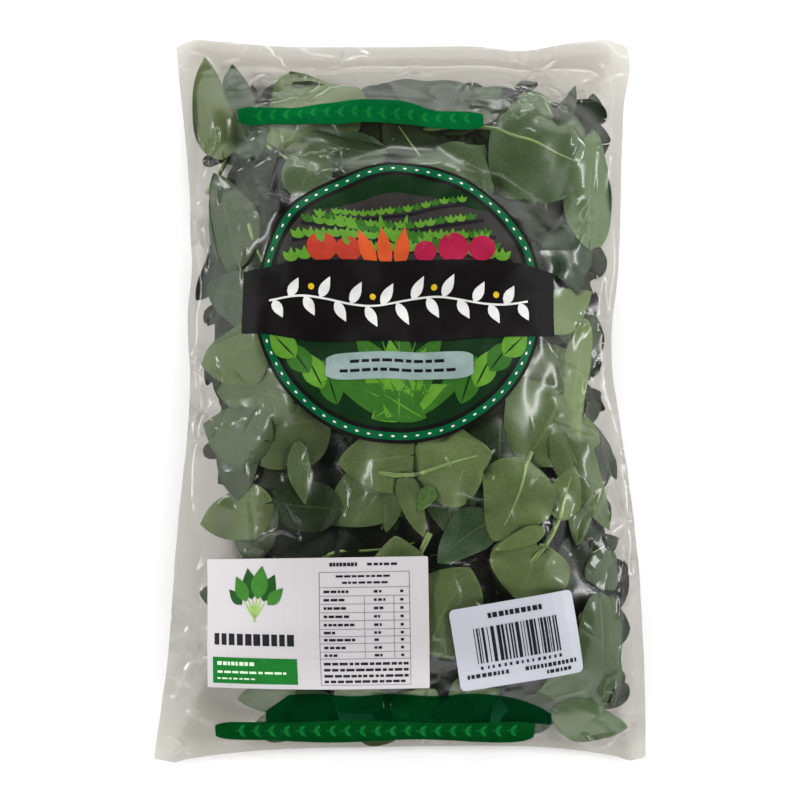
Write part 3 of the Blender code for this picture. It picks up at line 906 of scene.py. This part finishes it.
# The folds that glint: the lamp, the width in mm, and the pixels that each runs through
SHINY_FOLDS = (
    (RIGHT_LAMP_AT, 6.0, ((590, 569), (600, 554), (611, 537), (621, 520))),
    (RIGHT_LAMP_AT, 1.6, ((625, 540), (623, 566), (621, 592), (619, 619))),
    (RIGHT_LAMP_AT, 3.6, ((617, 682), (613, 692), (611, 704))),
    (RIGHT_LAMP_AT, 2.0, ((583, 734), (592, 743), (600, 746), (608, 741), (615, 734))),
    (RIGHT_LAMP_AT, 2.4, ((603, 486), (595, 505))),
    (RIGHT_LAMP_AT, 2.0, ((593, 206), (585, 215))),
    (RIGHT_LAMP_AT, 2.4, ((588, 224), (578, 250))),
    (RIGHT_LAMP_AT, 2.0, ((592, 326), (586, 338))),
    (RIGHT_LAMP_AT, 2.4, ((602, 363), (596, 370))),
    (RIGHT_LAMP_AT, 2.0, ((588, 381), (585, 394))),
    (RIGHT_LAMP_AT, 2.0, ((587, 402), (584, 419))),
    (RIGHT_LAMP_AT, 1.6, ((582, 91), (580, 102))),
    (RIGHT_LAMP_AT, 1.6, ((634, 672), (633, 686))),
    (LEFT_LAMP_AT, 2.4, ((213, 162), (222, 180))),
    (LEFT_LAMP_AT, 1.6, ((205, 140), (203, 161))),
    (LEFT_LAMP_AT, 1.8, ((217, 130), (215, 146))),
    (LEFT_LAMP_AT, 2.6, ((187, 711), (200, 716), (211, 720))),
    (LEFT_LAMP_AT, 2.0, ((217, 191), (217, 204))),
    (LEFT_LAMP_AT, 2.0, ((208, 246), (205, 265))),
    (LEFT_LAMP_AT, 2.4, ((211, 410), (210, 420))),
    (FAR_LAMP_AT, 2.0, ((222, 66), (232, 63), (240, 61))),
    (FAR_LAMP_AT, 2.0, ((411, 70), (431, 73))),
)
for lamp_at, width, pixels in SHINY_FOLDS:
    shiny_fold(lamp_at, width * MM, [seen_at(*pixel) for pixel in pixels])

# Small creases all over, most of them near the edges and pointing outward
SMALL_CREASES = 130
SMALL_LENGTHS, SMALL_HEIGHTS, SMALL_WIDTHS = (10, 34), (0.4, 1.2), (2.2, 4.2)
crinkle = np.random.default_rng(7)
for _ in range(SMALL_CREASES):
    share_across, share_along = crinkle.beta(0.5, 0.5), crinkle.beta(0.7, 0.7)
    start = np.array(plan_points(share_across, share_along))
    to_edge = math.atan2(share_along - 0.5, (share_across - 0.5) * 1.3)
    angle = to_edge + crinkle.normal(0, 0.5)
    length = crinkle.uniform(*SMALL_LENGTHS) * MM
    middle = start + length / 2 * np.array((math.cos(angle), math.sin(angle)))
    angle += crinkle.normal(0, 0.4)
    end = middle + length / 2 * np.array((math.cos(angle), math.sin(angle)))
    height, width = crinkle.uniform(*SMALL_HEIGHTS) * MM, crinkle.uniform(*SMALL_WIDTHS) * MM
    crease([start, middle, end], height, width)

# The film's two sides, which meet in the weld all round
across, along = np.meshgrid(np.linspace(0, 1, FILM_COLS), np.linspace(0, 1, FILM_ROWS))
film_x, film_y = plan_points(across, along)
film_top = read_map(film, film_x, film_y)
film_back = read_map(back, film_x, film_y)
rim = np.zeros(film_x.shape, bool)
rim[[0, -1], :] = True
rim[:, [0, -1]] = True
weld = (film_top + film_back) / 2
film_top = np.where(rim, weld + RIM_GAP / 2, np.maximum(film_top, film_back + RIM_GAP))
film_back = np.where(rim, weld - RIM_GAP / 2, film_back)

FRONT_TINT, BACK_TINT = linear(240, 240, 238), linear(225, 222, 217)
FRONT_HAZE, BACK_HAZE = linear(190, 188, 180), linear(190, 186, 181)
FACING_SHINE, GRAZING_SHINE = 0.02, 0.5
GLOSS_ROUGHNESS = 0.2
FINE_FOLDS_THIN, SCUFFS_HIGH = 16.0, 0.004


def film_material(name, tint, haze_colour, haze):
    """Clear film: a light tint, a trace of haze that varies, and a gloss that grows aslant."""
    material, add = new_material(name)
    where = add("ShaderNodeTexCoord").outputs["Object"]
    cloudy = noise(add, where, scale=22.0, detail=3.0).outputs[0]
    scuffs = noise(add, where, scale=700.0, detail=2.0).outputs[0]
    facing = add("ShaderNodeLayerWeight", Blend=0.5).outputs["Facing"]
    shine = scaled(add, maths(add, "POWER", facing, 4.0), GRAZING_SHINE, FACING_SHINE)
    through = add("ShaderNodeBsdfTransparent", Color=tint).outputs[0]
    milk = add("ShaderNodeBsdfDiffuse", Color=haze_colour).outputs[0]
    patches = scaled(add, cloudy, 5.0, -2.8, clamp=True)
    share = scaled(add, patches, 6 * haze, haze)
    body = add("ShaderNodeMixShader", i0=share, i1=through, i2=milk).outputs[0]
    drift = noise(add, where, scale=35.0, detail=2.0).outputs["Color"]
    settings = {"operation": "MULTIPLY_ADD"}
    bent = add("ShaderNodeVectorMath", settings, i0=drift, i1=(0.03, 0.03, 0.03), i2=where).outputs[0]
    folds = add("ShaderNodeTexVoronoi", {"feature": "DISTANCE_TO_EDGE"}, Vector=bent, Scale=38.0)
    fold_line = rest_of_one(add, product(add, folds.outputs[0], FINE_FOLDS_THIN))
    some = scaled(add, cloudy, 6.0, -2.9, clamp=True)
    height = scaled(add, product(add, fold_line, some), 1.0, product(add, scuffs, SCUFFS_HIGH))
    bump = add("ShaderNodeBump", Strength=1.0, Distance=0.8 * MM, Height=height).outputs[0]
    gloss = add("ShaderNodeBsdfGlossy", Roughness=GLOSS_ROUGHNESS, Normal=bump).outputs[0]
    surface = add("ShaderNodeMixShader", i0=shine, i1=body, i2=gloss).outputs[0]
    add("ShaderNodeOutputMaterial", Surface=surface)
    return material


FILM_EDGE_ANGLE = math.radians(70)
front_film = film_material("clear_film", FRONT_TINT, FRONT_HAZE, haze=0.005)
back_film = film_material("clear_film_back", BACK_TINT, BACK_HAZE, haze=0.10)
film_points = two_sided(film_x, film_y, film_top, film_back)
film_piece = add_piece("film", film_points, strips(FILM_COLS, FILM_ROWS), front_film, FILM_EDGE_ANGLE)
film_piece.data.materials.append(back_film)
one_side = 2 * (FILM_COLS - 1) * (FILM_ROWS - 1)
is_back = np.zeros(len(film_piece.data.polygons), np.int32)
is_back[one_side:2 * one_side] = 1
film_piece.data.polygons.foreach_set("material_index", is_back)

# Where the back lies flat on the table its many faces become one
melted = bmesh.new()
melted.from_mesh(film_piece.data)
flat = [face for face in melted.faces if all(v.co.z == 0 for v in face.verts)]
bmesh.ops.dissolve_faces(melted, faces=flat, use_verts=True)
melted.to_mesh(film_piece.data)
melted.free()
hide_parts("bag")


# Print on the film
# A round badge and two green strips with rows of small leaves, in opaque inks, one over the other.
# The badge has a dotted ring, a hill with crop rows, roots and fruit, a dark band and a pale plate.
INK_THICKNESS = 0.04 * MM
INK_CLEAR, INK_STEP = 0.16 * MM, 0.05 * MM
FINE_CELL = 1.5
INKS = {
    "rim": linear(13, 11, 12),
    "ring": linear(0, 76, 42),
    "pale": linear(200, 200, 197),
    "leaf_dark": linear(10, 36, 14),
    "leaf": linear(44, 88, 28),
    "leaf_light": linear(78, 124, 38),
    "hill": linear(44, 42, 40),
    "soil": linear(24, 22, 26),
    "red": linear(150, 48, 34),
    "orange": linear(176, 72, 34),
    "magenta": linear(142, 24, 56),
    "yellow": linear(196, 166, 34),
    "plate": linear(120, 138, 133),
    "strip": linear(2, 74, 34),
    "strip_leaf": linear(12, 94, 40),
    "lower_strip": linear(2, 56, 18),
}

jobs = {}


def lay(ink, layer, shape, place=BADGE_AT):
    """Puts a shape, a grid of plan points in mm round a place, on the list for its ink."""
    jobs.setdefault(ink, []).append((np.asarray(place) + shape * MM, layer))


def between(first, last, lower_line, upper_line, cell=FINE_CELL):
    """The area between two lines, from one x to another."""
    x = np.linspace(first, last, max(int((last - first) / cell), 4))[:, None]
    lower_y, upper_y = lower_line(x), upper_line(x)
    upper_y = np.maximum(upper_y, lower_y + 0.05)
    share = np.linspace(0, 1, max(int((upper_y - lower_y).max() / cell), 2) + 1)[None, :]
    return np.stack(np.broadcast_arrays(x, lower_y * (1 - share) + upper_y * share), axis=2)


def level(y):
    """A straight level line, for an area between two lines."""
    return lambda x: y + 0 * x


def block(left, bottom, right, top, cell=FINE_CELL):
    return between(left, right, level(bottom), level(top), cell)


def round_shape(x, y, radius_x, radius_y, cell=FINE_CELL):
    """A disc or an oval, from a square grid pressed into the round."""
    side = np.linspace(-1, 1, max(int(2 * radius_x / cell), 4) + 1)
    s, t = side[:, None], side[None, :]
    round_x, round_y = s * np.sqrt(1 - t * t / 2), t * np.sqrt(1 - s * s / 2)
    return np.stack([x + radius_x * round_x, y + radius_y * round_y], axis=2)


def ring_part(inner, outer, first, last):
    """A part of a ring from one angle to another, in degrees."""
    angle = np.linspace(math.radians(first), math.radians(last), int(abs(last - first)))[:, None]
    radius = np.linspace(outer, inner, 3)[None, :]
    return np.stack([radius * np.cos(angle), radius * np.sin(angle)], axis=2)


def leaf_shape(x, y, angle, length, width, cell=FINE_CELL):
    """A simple pointed leaf from its base at x, y."""
    u = np.linspace(0, 1, max(int(length / cell), 5))[:, None]
    v = np.linspace(1, -1, max(int(width / cell), 2) + 1)[None, :]
    aside = width / 2 * v * np.maximum(np.sin(math.pi * u**0.8), 0.04)
    onward = length * u + 0 * v
    cosine, sine = math.cos(math.radians(angle)), math.sin(math.radians(angle))
    return np.stack([x + onward * cosine - aside * sine, y + onward * sine + aside * cosine], axis=2)


def veined_leaf(ink, vein_ink, layer, x, y, angle, length, width):
    """A leaf with a line along its middle in another ink."""
    lay(ink, layer, leaf_shape(x, y, angle, length, width))
    lay(vein_ink, layer + 0.5, leaf_shape(x, y, angle, length * 0.86, 0.9))


# The rim with its dotted ring, and the field inside it
RIM, FIELD = 71.5, 64.0
RING_INNER, RING_OUTER, DOTS_AT = 66.2, 69.8, 68
DOTS, DOT_TURN = 72, 5
lay("rim", 0, round_shape(0, 0, RIM, RIM))
lay("ring", 1, ring_part(RING_INNER, RING_OUTER, -176, -4))
lay("ring", 1, ring_part(RING_INNER, RING_OUTER, 4, 176))
for step in range(DOTS):
    turn = DOT_TURN * (step + 0.5)
    x, y = DOTS_AT * math.cos(math.radians(turn)), DOTS_AT * math.sin(math.radians(turn))
    back_x, back_y = 0.9 * math.sin(math.radians(turn)), 0.9 * math.cos(math.radians(turn))
    lay("pale", 2, leaf_shape(x + back_x, y - back_y, turn + 90, 2.0, 1.0, 0.5))
lay("leaf_dark", 1, round_shape(0, 0, FIELD, FIELD))


def field_edge(x):
    """The height of the field's upper edge."""
    return np.sqrt(np.maximum(FIELD**2 - x**2, 0)) - 0.4


# A hill in the upper half, with five rows of tufts that get smaller uphill
HILL_FOOT, FIRST_ROW, ROW_STEP = 15, 20, 6.4
lay("hill", 2, between(
    -60, 60, level(HILL_FOOT), lambda x: np.minimum(field_edge(x), 50 + 5 * np.cos(x / 16))
))
for row in range(5):
    base_y = FIRST_ROW + ROW_STEP * row
    reach = math.sqrt(FIELD**2 - (base_y + 7) ** 2) - 2
    lay("soil", 3, between(
        -reach, reach,
        lambda x: base_y + 4 * np.cos(x / 24 + row),
        lambda x: base_y + 4 * np.cos(x / 24 + row) + 2.6 - 0.25 * row + 0 * x,
    ))
    for x in np.arange(-reach + 3, reach - 2, 6.5 - 0.5 * row):
        y, size = base_y + 4 * math.cos(x / 24 + row) + 4, 2.9 - 0.3 * row
        tuft = "leaf_light" if int(x * 7) % 3 else "leaf"
        for turn in (50, 90, 130):
            lay(tuft, 4 + 0.01 * turn, leaf_shape(x, y - size, turn, size * 2.3, size * 1.1, 0.9))

# Fruit and roots in a row at the foot of the hill
FRUIT_FOOT, ROOT_FOOT, ROOT_LENGTH = 21, 16, 22
for x, radius, ink in (
    (-38, 7.5, "red"), (-25, 6.5, "red"),
    (27, 7.5, "magenta"), (41, 6.5, "magenta"), (13, 5.5, "magenta"),
):
    for turn in (60, 90, 120):
        lay("leaf_light", 5.6 + 0.01 * turn, leaf_shape(x, FRUIT_FOOT + radius, turn, 7.5, 2.6, 1.0))
    lay(ink, 6.8 + 0.01 * x, round_shape(x, FRUIT_FOOT + radius * 0.7, radius, radius))
for x, turn in ((-12, 112), (-6, 97), (0, 82)):
    top_x = x + (ROOT_LENGTH - 1) * math.cos(math.radians(turn))
    top_y = ROOT_FOOT + (ROOT_LENGTH - 1) * math.sin(math.radians(turn))
    lay("orange", 7.3, leaf_shape(x, ROOT_FOOT, turn, ROOT_LENGTH, 7.5))
    lay("leaf_light", 5, leaf_shape(top_x, top_y, turn, 8, 2.4, 1.0))

# A fan of leaves in the lower half, and more leaves up each side
FAN_FOOT, FAN_SPREAD = 5 - FIELD, 150
for layer, count, length, width, inks in (
    (2, 9, 52, 17, ("leaf", "leaf_dark")),
    (4.4, 8, 40, 16, ("leaf_light", "leaf")),
    (6.6, 5, 27, 13, ("leaf", "leaf_light")),
):
    for k in range(count):
        angle = 90 + (k - (count - 1) / 2) * (FAN_SPREAD / count)
        ink = inks[k % 2]
        vein_ink = "leaf_light" if ink != "leaf_light" else "leaf"
        veined_leaf(ink, vein_ink, layer + 0.2 * k, 0.2 * (angle - 90), FAN_FOOT, angle, length, width)
for side in (-1, 1):
    for k in range(4):
        ink = ("leaf", "leaf_light")[k % 2]
        x, y, angle = side * (30 + 7 * k), -52 + 8 * k, 90 - side * (18 + 9 * k)
        veined_leaf(ink, "leaf_dark", 3 + 0.7 * k, x, y, angle, 24 - 2 * k, 12)


# The dark band across, with a leafy vine and its berries
BAND_REACH, BAND_HALF = 78, 20.5


def band_edge(x):
    """Half the band's height, a little less towards its ends."""
    return BAND_HALF - 4.5 * (x / BAND_REACH) ** 2


def vine(x):
    """The height of the vine's stem as it winds along the band."""
    return 2.4 * np.sin(x / 10)


lay("rim", 9, between(-BAND_REACH, BAND_REACH, lambda x: -band_edge(x), band_edge))
lay("pale", 10, between(-64, 64, lambda x: vine(x) - 0.5, lambda x: vine(x) + 0.5, 1.0))
for k in range(17):
    x = -62 + 7.6 * k
    way = 1 if k % 2 else -1
    lay("pale", 10.5, leaf_shape(x, vine(x), way * 62, 13 - abs(k - 8) * 0.4, 5.2))
    if k % 4 == 2:
        lay("yellow", 11, round_shape(x + 3.4, vine(x) - way * 4.5, 1.5, 1.5, 0.6))

# The pale plate with two rows of short bars
PLATE_HALF = 36
lay("plate", 9, between(
    -PLATE_HALF, PLATE_HALF,
    lambda x: -40 + 2.5 * np.abs(x / PLATE_HALF) ** 12,
    lambda x: -26 - 2.5 * np.abs(x / PLATE_HALF) ** 12,
))
for row, first, last in ((-30.6, -24, 22), (-35.4, -29, 28)):
    x = first
    while x < last:
        wide = 2.2 + 2.6 * abs(math.sin(x))
        lay("rim", 10, block(x, row - 0.8, min(x + wide, last), row + 0.8, 1.2))
        x += wide + 1.2

# The two strips, the upper one a little aslant, and the small leaves along each
TOP_REACH, LOWER_REACH, TOP_FALL = 64, 80, 1 / 25
lay("strip", 0, between(
    -TOP_REACH, TOP_REACH,
    lambda x: -6.3 + 1.2 * np.sin(x / 12) - TOP_FALL * x + 2.5 * np.abs(x / TOP_REACH) ** 16,
    lambda x: 6.4 + 1.5 * np.sin(x / 15 + 1) - TOP_FALL * x - 2.5 * np.abs(x / TOP_REACH) ** 16,
), TOP_STRIP_AT)
lay("lower_strip", 0, between(
    -LOWER_REACH, LOWER_REACH,
    lambda x: -5.6 + 0.8 * np.sin(x / 14) + 2.5 * np.abs(x / LOWER_REACH) ** 20,
    lambda x: 5.6 + 0.8 * np.sin(x / 17 + 2) - 2.5 * np.abs(x / LOWER_REACH) ** 20,
), LOWER_STRIP_AT)
for place, reach, count, fall in ((TOP_STRIP_AT, 54, 16, TOP_FALL), (LOWER_STRIP_AT, 68, 19, 0)):
    for k in range(count):
        x = -reach + 2 * reach * k / (count - 1)
        y = -fall * x
        for way in (-1, 1):
            lay("strip_leaf", 1, leaf_shape(x, y, way * 48, 4.6, 2.0, 0.9), place)
        lay("strip_leaf", 1, leaf_shape(x - 2.6, y, 0, 6.4, 0.6, 0.9), place)


COATED_SHINE, MATT = 0.05, 0.0
INK_DARKEST, INK_PALEST = 0.72, 1.25


def ink_material(name, colour, shine=COATED_SHINE):
    """Opaque ink, a little uneven in tone, under the thin shine of a coated film."""
    material, add = new_material(name)
    where = add("ShaderNodeTexCoord").outputs["Object"]
    grain = noise(add, where, scale=160.0, detail=3.0).outputs[0]
    deep = tuple(channel * INK_DARKEST for channel in colour[:3]) + (1,)
    pale = tuple(min(channel * INK_PALEST + 0.001, 1) for channel in colour[:3]) + (1,)
    paint = blended(add, grain, deep, pale)
    bump = add("ShaderNodeBump", Strength=0.1, Distance=0.1 * MM, Height=grain).outputs[0]
    shader = add("ShaderNodeBsdfPrincipled", Base_Color=paint, Roughness=0.5, Normal=bump)
    shader.inputs["Specular IOR Level"].default_value = shine
    add("ShaderNodeOutputMaterial", Surface=shader.outputs[0])
    return material


def add_print(name, shapes, material):
    """Thin sheets of one ink that follow the film, each as far above it as its layer says."""
    parts = []
    for shape, layer in shapes:
        x, y = shape[..., 0], shape[..., 1]
        z = read_map(film, x, y) + INK_CLEAR + layer * INK_STEP
        parts.append(thin_sheet(np.stack([x, y, z], axis=2), np.full(x.shape, INK_THICKNESS)))
    piece = add_piece(name, *joined(parts), material)


for ink, shapes in jobs.items():
    shine = MATT if "strip" in ink else COATED_SHINE
    add_print("print_" + ink, shapes, ink_material("ink_" + ink, INKS[ink], shine))

# Above the lower strip the ink runs on as a thin wash that the leaves show through
WASH_THROUGH, WASH_INK, WASH_COVERS = linear(140, 208, 188), linear(6, 70, 34), 0.2
WASH_TOP = 20


def wash_lower_line(x):
    """Along the strip's upper edge, and bent down past the strip's right end."""
    return 5.4 + 0.8 * np.sin(x / 17 + 2) - 3 * np.clip((x - 70) / 18, 0, 1)


def wash_upper_line(x):
    """Level with a slight ripple, cut off at its left end and rounded down at its right."""
    right_end, left_end = np.clip((x - 56) / 32, 0, 1), np.clip((-x - 42) / 12, 0, 1)
    return WASH_TOP - 12 * right_end**2 + 0.5 * np.sin(x / 6) - 9 * left_end


wash = between(-54, 88, wash_lower_line, wash_upper_line)
material, add = new_material("ink_wash")
where = add("ShaderNodeTexCoord").outputs["Object"]
uneven = noise(add, where, scale=60.0, detail=3.0).outputs[0]
through = add("ShaderNodeBsdfTransparent", Color=WASH_THROUGH).outputs[0]
deposit = add("ShaderNodeBsdfDiffuse", Color=WASH_INK).outputs[0]
share = product(add, uneven, WASH_COVERS)
surface = add("ShaderNodeMixShader", i0=share, i1=through, i2=deposit).outputs[0]
add("ShaderNodeOutputMaterial", Surface=surface)
add_print("print_wash", [(np.asarray(LOWER_STRIP_AT) + wash * MM, 0)], material)


# Paper labels
# Two stickers on the film: a large one with a plant picture, a green box and a ruled table, and a
# small one with a bar pattern. Both are smooth white paper, printed in black, greys and greens.
PRINT_ON_PAPER = 0.06 * MM
PAPER_ROUGHNESS, PAPER_SHINE = 0.42, 0.3
PAPER_INK = linear(28, 28, 32)
FAINT_INK = linear(120, 112, 118)
BOX_GREEN, BOX_MARKS = linear(16, 104, 34), linear(196, 224, 190)
PLANT_STEMS, PLANT_DARK, PLANT_LIGHT = linear(140, 168, 96), linear(24, 70, 26), linear(54, 110, 38)
BAR_GAPS = (0.8, 1.3)
BAR_CELL, BOX_CELL = 2.0, 2.5
marking = np.random.default_rng(5)


def dress_label(node, colour, blush):
    """Gives a label its white paper, and the faces that its print is laid on."""
    material, add = new_material(node + "_paper")
    where = add("ShaderNodeTexCoord").outputs["Object"]
    clouds = noise(add, where, scale=30.0, detail=2.0).outputs[0]
    fibres = noise(add, where, scale=900.0, detail=3.0).outputs[0]
    paint = blended(add, clouds, colour, blush)
    bump = add("ShaderNodeBump", Strength=0.08, Distance=0.1 * MM, Height=fibres).outputs[0]
    shader = add("ShaderNodeBsdfPrincipled", Base_Color=paint, Roughness=PAPER_ROUGHNESS, Normal=bump)
    shader.inputs["Specular IOR Level"].default_value = PAPER_SHINE
    add("ShaderNodeOutputMaterial", Surface=shader.outputs[0])
    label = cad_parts[node]
    label.material_slots[0].material = material
    return tree_of(label.data)


def label_print(name, label, shapes, colour, layer=1):
    """Shapes in one ink on the face of a label, given in mm from its middle."""
    tree, middle, turn = label
    cosine, sine = math.cos(math.radians(turn)), math.sin(math.radians(turn))
    parts = []
    for shape in shapes:
        x = middle[0] + (shape[..., 0] * cosine - shape[..., 1] * sine) * MM
        y = middle[1] + (shape[..., 0] * sine + shape[..., 1] * cosine) * MM
        above = [Vector((*at, FAR)) for at in zip(x.ravel(), y.ravel())]
        face = [tree.ray_cast(start, Vector((0, 0, -1)))[0].z for start in above]
        z = np.array(face).reshape(x.shape) + layer * PRINT_ON_PAPER
        parts.append(thin_sheet(np.stack([x, y, z], axis=2), np.full(x.shape, INK_THICKNESS)))
    piece = add_piece(name, *joined(parts), ink_material(name + "_ink", colour))


def bars_in_rows(*rows):
    """Short bars of uneven width. Each row has its ends, y, height, least and most width, and gap."""
    bars = []
    for first, last, y, tall, least, most, gap in rows:
        x = first
        while x < last - least:
            wide = marking.uniform(least, most)
            bars.append(block(x, y - tall / 2, min(x + wide, last), y + tall / 2, BAR_CELL))
            x += wide + gap * marking.uniform(*BAR_GAPS)
    return bars


# The large label: its green box with three rows, and a row of tall bars under the plant
INFO_MIDDLE, INFO_TURN = (-41.2 * MM, -120.4 * MM), 0.9
GREEN_BOX = (-52, -29.2, -8.4, -16.4)
info = (dress_label("info_label", linear(182, 180, 181), linear(174, 169, 172)), INFO_MIDDLE, INFO_TURN)
box_marks = bars_in_rows(
    (-49.5, -29, -19.4, 1.8, 1.2, 2.6, 0.6),
    (-49.5, -14, -23.6, 1.1, 1.5, 4.5, 0.9),
    (-49.5, -30, -26.8, 0.8, 1.2, 3.2, 0.8),
)
marks = bars_in_rows((-51, -9, -7.6, 5.6, 2.6, 3.9, 1.0))

# Its ruled table, with marks above it, in its rows and in the box below them
TABLE_LEFT, TABLE_RIGHT, TABLE_COLUMNS = 3, 46, (24.5, 38.5)
ROW_LINES = (24.6, 17.4, 13.4, 9.6, 5.6, 1.8, -2.2, -5.6, -9.0, -13.0, -16.4, -29.4)
COLUMNS_TOP, COLUMNS_BOTTOM = ROW_LINES[2], ROW_LINES[-2]
FRAME_HALF, ROW_HALF, COLUMN_HALF = 0.15, 0.13, 0.12
lines = [
    block(x - FRAME_HALF, ROW_LINES[-1], x + FRAME_HALF, ROW_LINES[0], BOX_CELL)
    for x in (TABLE_LEFT, TABLE_RIGHT)
]
for y in ROW_LINES:
    lines.append(block(TABLE_LEFT, y - ROW_HALF, TABLE_RIGHT, y + ROW_HALF, BOX_CELL))
for x in TABLE_COLUMNS:
    lines.append(block(x - COLUMN_HALF, COLUMNS_BOTTOM, x + COLUMN_HALF, COLUMNS_TOP, BOX_CELL))
marks += bars_in_rows(
    (8, 22, 28.2, 1.7, 0.8, 1.6, 0.35),
    (26, 42, 28.2, 1.2, 1.5, 3, 0.7),
    (11, 37, 22.6, 1.0, 1.4, 3.4, 0.7),
    (14, 36, 19.6, 1.0, 1.4, 3.4, 0.7),
)
for top_line, bottom_line in zip(ROW_LINES[1:-1], ROW_LINES[2:-1]):
    y = (top_line + bottom_line) / 2
    marks += bars_in_rows((5, 5 + marking.uniform(6, 16), y, 1.2, 1.2, 3.4, 0.6))
    marks += bars_in_rows((29, 29 + marking.uniform(3, 6), y, 1.2, 1.0, 2.4, 0.6))
    marks.append(block(41.5, y - 0.6, 43, y + 0.6))
for y in (-18.8, -21.8, -24.8, -27.6):
    marks += bars_in_rows((4.6, 45, y, 1.3, 1.6, 4.2, 0.7))
label_print("info_green_box", info, [block(*GREEN_BOX, BOX_CELL)], BOX_GREEN)
label_print("info_box_marks", info, box_marks, BOX_MARKS, layer=2)
label_print("info_table_lines", info, lines, FAINT_INK)
label_print("info_marks", info, marks, PAPER_INK)

# Its plant: six leaves fanned out on pale stems
PLANT_X, PLANT_Y = -29.5, 1
stems, dark_leaves, light_leaves = [], [], []
for k, (lean, length) in enumerate(((-34, 11), (-20, 14), (-7, 16), (6, 15), (19, 13), (33, 10))):
    angle = 90 + lean
    base_x = PLANT_X + (10 + length * 0.2) * math.cos(math.radians(angle))
    base_y = PLANT_Y + (9 + length * 0.2) * math.sin(math.radians(angle)) - 1
    leaf = leaf_shape(base_x, base_y, angle + lean * 0.3, length, length * 0.55)
    (dark_leaves if k % 2 else light_leaves).append(leaf)
    stems.append(leaf_shape(PLANT_X + lean * 0.03, PLANT_Y, angle, 13, 1.3))
label_print("plant_picture_stems", info, stems, PLANT_STEMS)
label_print("plant_picture_dark", info, dark_leaves, PLANT_DARK, layer=2)
label_print("plant_picture_light", info, light_leaves, PLANT_LIGHT, layer=3)

# The small label: a pattern of upright bars, with rows of short ones above and below
SMALL_MIDDLE, SMALL_TURN = (55.8 * MM, -128.4 * MM), 9.5
BARS_REACH, BARS_BOTTOM, BARS_TOP = 20, -7.5, 9.5
small_label = (
    dress_label("barcode_label", linear(169, 171, 179), linear(161, 164, 173)), SMALL_MIDDLE, SMALL_TURN
)
bars, x = [], -BARS_REACH
while x < BARS_REACH:
    wide = marking.choice((0.4, 0.4, 0.8, 1.2, 1.7))
    bars.append(block(x, BARS_BOTTOM, x + wide, BARS_TOP, 3.0))
    x += wide + marking.choice((0.5, 0.5, 0.9, 1.3))
bars += bars_in_rows(
    (-12, 16, 14.6, 2.4, 1.4, 2.4, 0.7),
    (-19, 21, -9.8, 1.6, 0.8, 1.4, 1.6),
    (-26, -6, -13.4, 2.0, 1.0, 2.2, 0.7),
    (2, 27, -13.4, 2.0, 0.9, 1.8, 0.6),
    (12, 25, -16.8, 1.8, 1.0, 2.0, 0.6),
)
label_print("barcode_marks", small_label, bars, PAPER_INK)


# Floor and light
# A plain pale table top under a soft light that comes in from all round and less from straight
# above, with narrow low lamps on three sides that give the film its thin bright glints.
FLOOR_DROP, FLOOR_HALF = 0.4 * MM, 1.5
FLOOR_DARK, FLOOR_PALE = linear(246, 246, 246), linear(250, 250, 250)
ALL_ROUND, STRAIGHT_ABOVE = 3.4, 0.05
FROM_SIDES, MORE_FROM_ENDS = 0.6, 0.9
FADE_STARTS, FADE_ENDS = 0.4, 0.6

floor_mesh = bpy.data.meshes.new("floor")
floor_corners = [(-FLOOR_HALF, -FLOOR_HALF), (FLOOR_HALF, -FLOOR_HALF), (FLOOR_HALF, FLOOR_HALF),
                 (-FLOOR_HALF, FLOOR_HALF)]
floor_mesh.from_pydata([(*corner, -FLOOR_DROP) for corner in floor_corners], [], [(0, 1, 2, 3)])
floor = bpy.data.objects.new("floor", floor_mesh)
bpy.context.scene.collection.objects.link(floor)
material, add = new_material("pale_floor")
where = add("ShaderNodeTexCoord").outputs["Object"]
paint = blended(add, noise(add, where, scale=6.0, detail=2.0).outputs[0], FLOOR_DARK, FLOOR_PALE)
shader = add("ShaderNodeBsdfPrincipled", Base_Color=paint, Roughness=0.9)
add("ShaderNodeOutputMaterial", Surface=shader.outputs[0])
floor_mesh.materials.append(material)

world = bpy.data.worlds.new("soft_light")
world.use_nodes = True
add = node_adder(world.node_tree)
way = add("ShaderNodeSeparateXYZ", i0=add("ShaderNodeTexCoord").outputs["Generated"])
fade = add("ShaderNodeMapRange", {"interpolation_type": "SMOOTHSTEP"}, Value=way.outputs["Z"],
           From_Min=FADE_STARTS, From_Max=FADE_ENDS, To_Min=ALL_ROUND, To_Max=STRAIGHT_ABOVE)
endways = scaled(add, maths(add, "POWER", way.outputs["Y"], 2.0), MORE_FROM_ENDS, FROM_SIDES)
strength = product(add, fade.outputs[0], endways)
sky = add("ShaderNodeBackground", Color=(1, 1, 1, 1), Strength=strength)
add("ShaderNodeOutputWorld", Surface=sky.outputs[0])
bpy.context.scene.world = world


def lamp(name, place, width, height, watts):
    """A flat lamp that faces the bag."""
    light = bpy.data.lights.new(name, "AREA")
    light.shape = "RECTANGLE"
    light.size, light.size_y = width, height
    light.energy = watts
    holder = bpy.data.objects.new(name, light)
    holder.location = place
    holder.rotation_mode = "QUATERNION"
    holder.rotation_quaternion = (-place).to_track_quat("-Z", "Y")
    bpy.context.scene.collection.objects.link(holder)


lamp("right_lamp", RIGHT_LAMP_AT, width=0.5, height=0.05, watts=7.4)
lamp("left_lamp", LEFT_LAMP_AT, width=0.5, height=0.05, watts=6.8)
lamp("far_lamp", FAR_LAMP_AT, width=0.4, height=0.045, watts=3)
bpy.context.scene.view_settings.view_transform = "Standard"
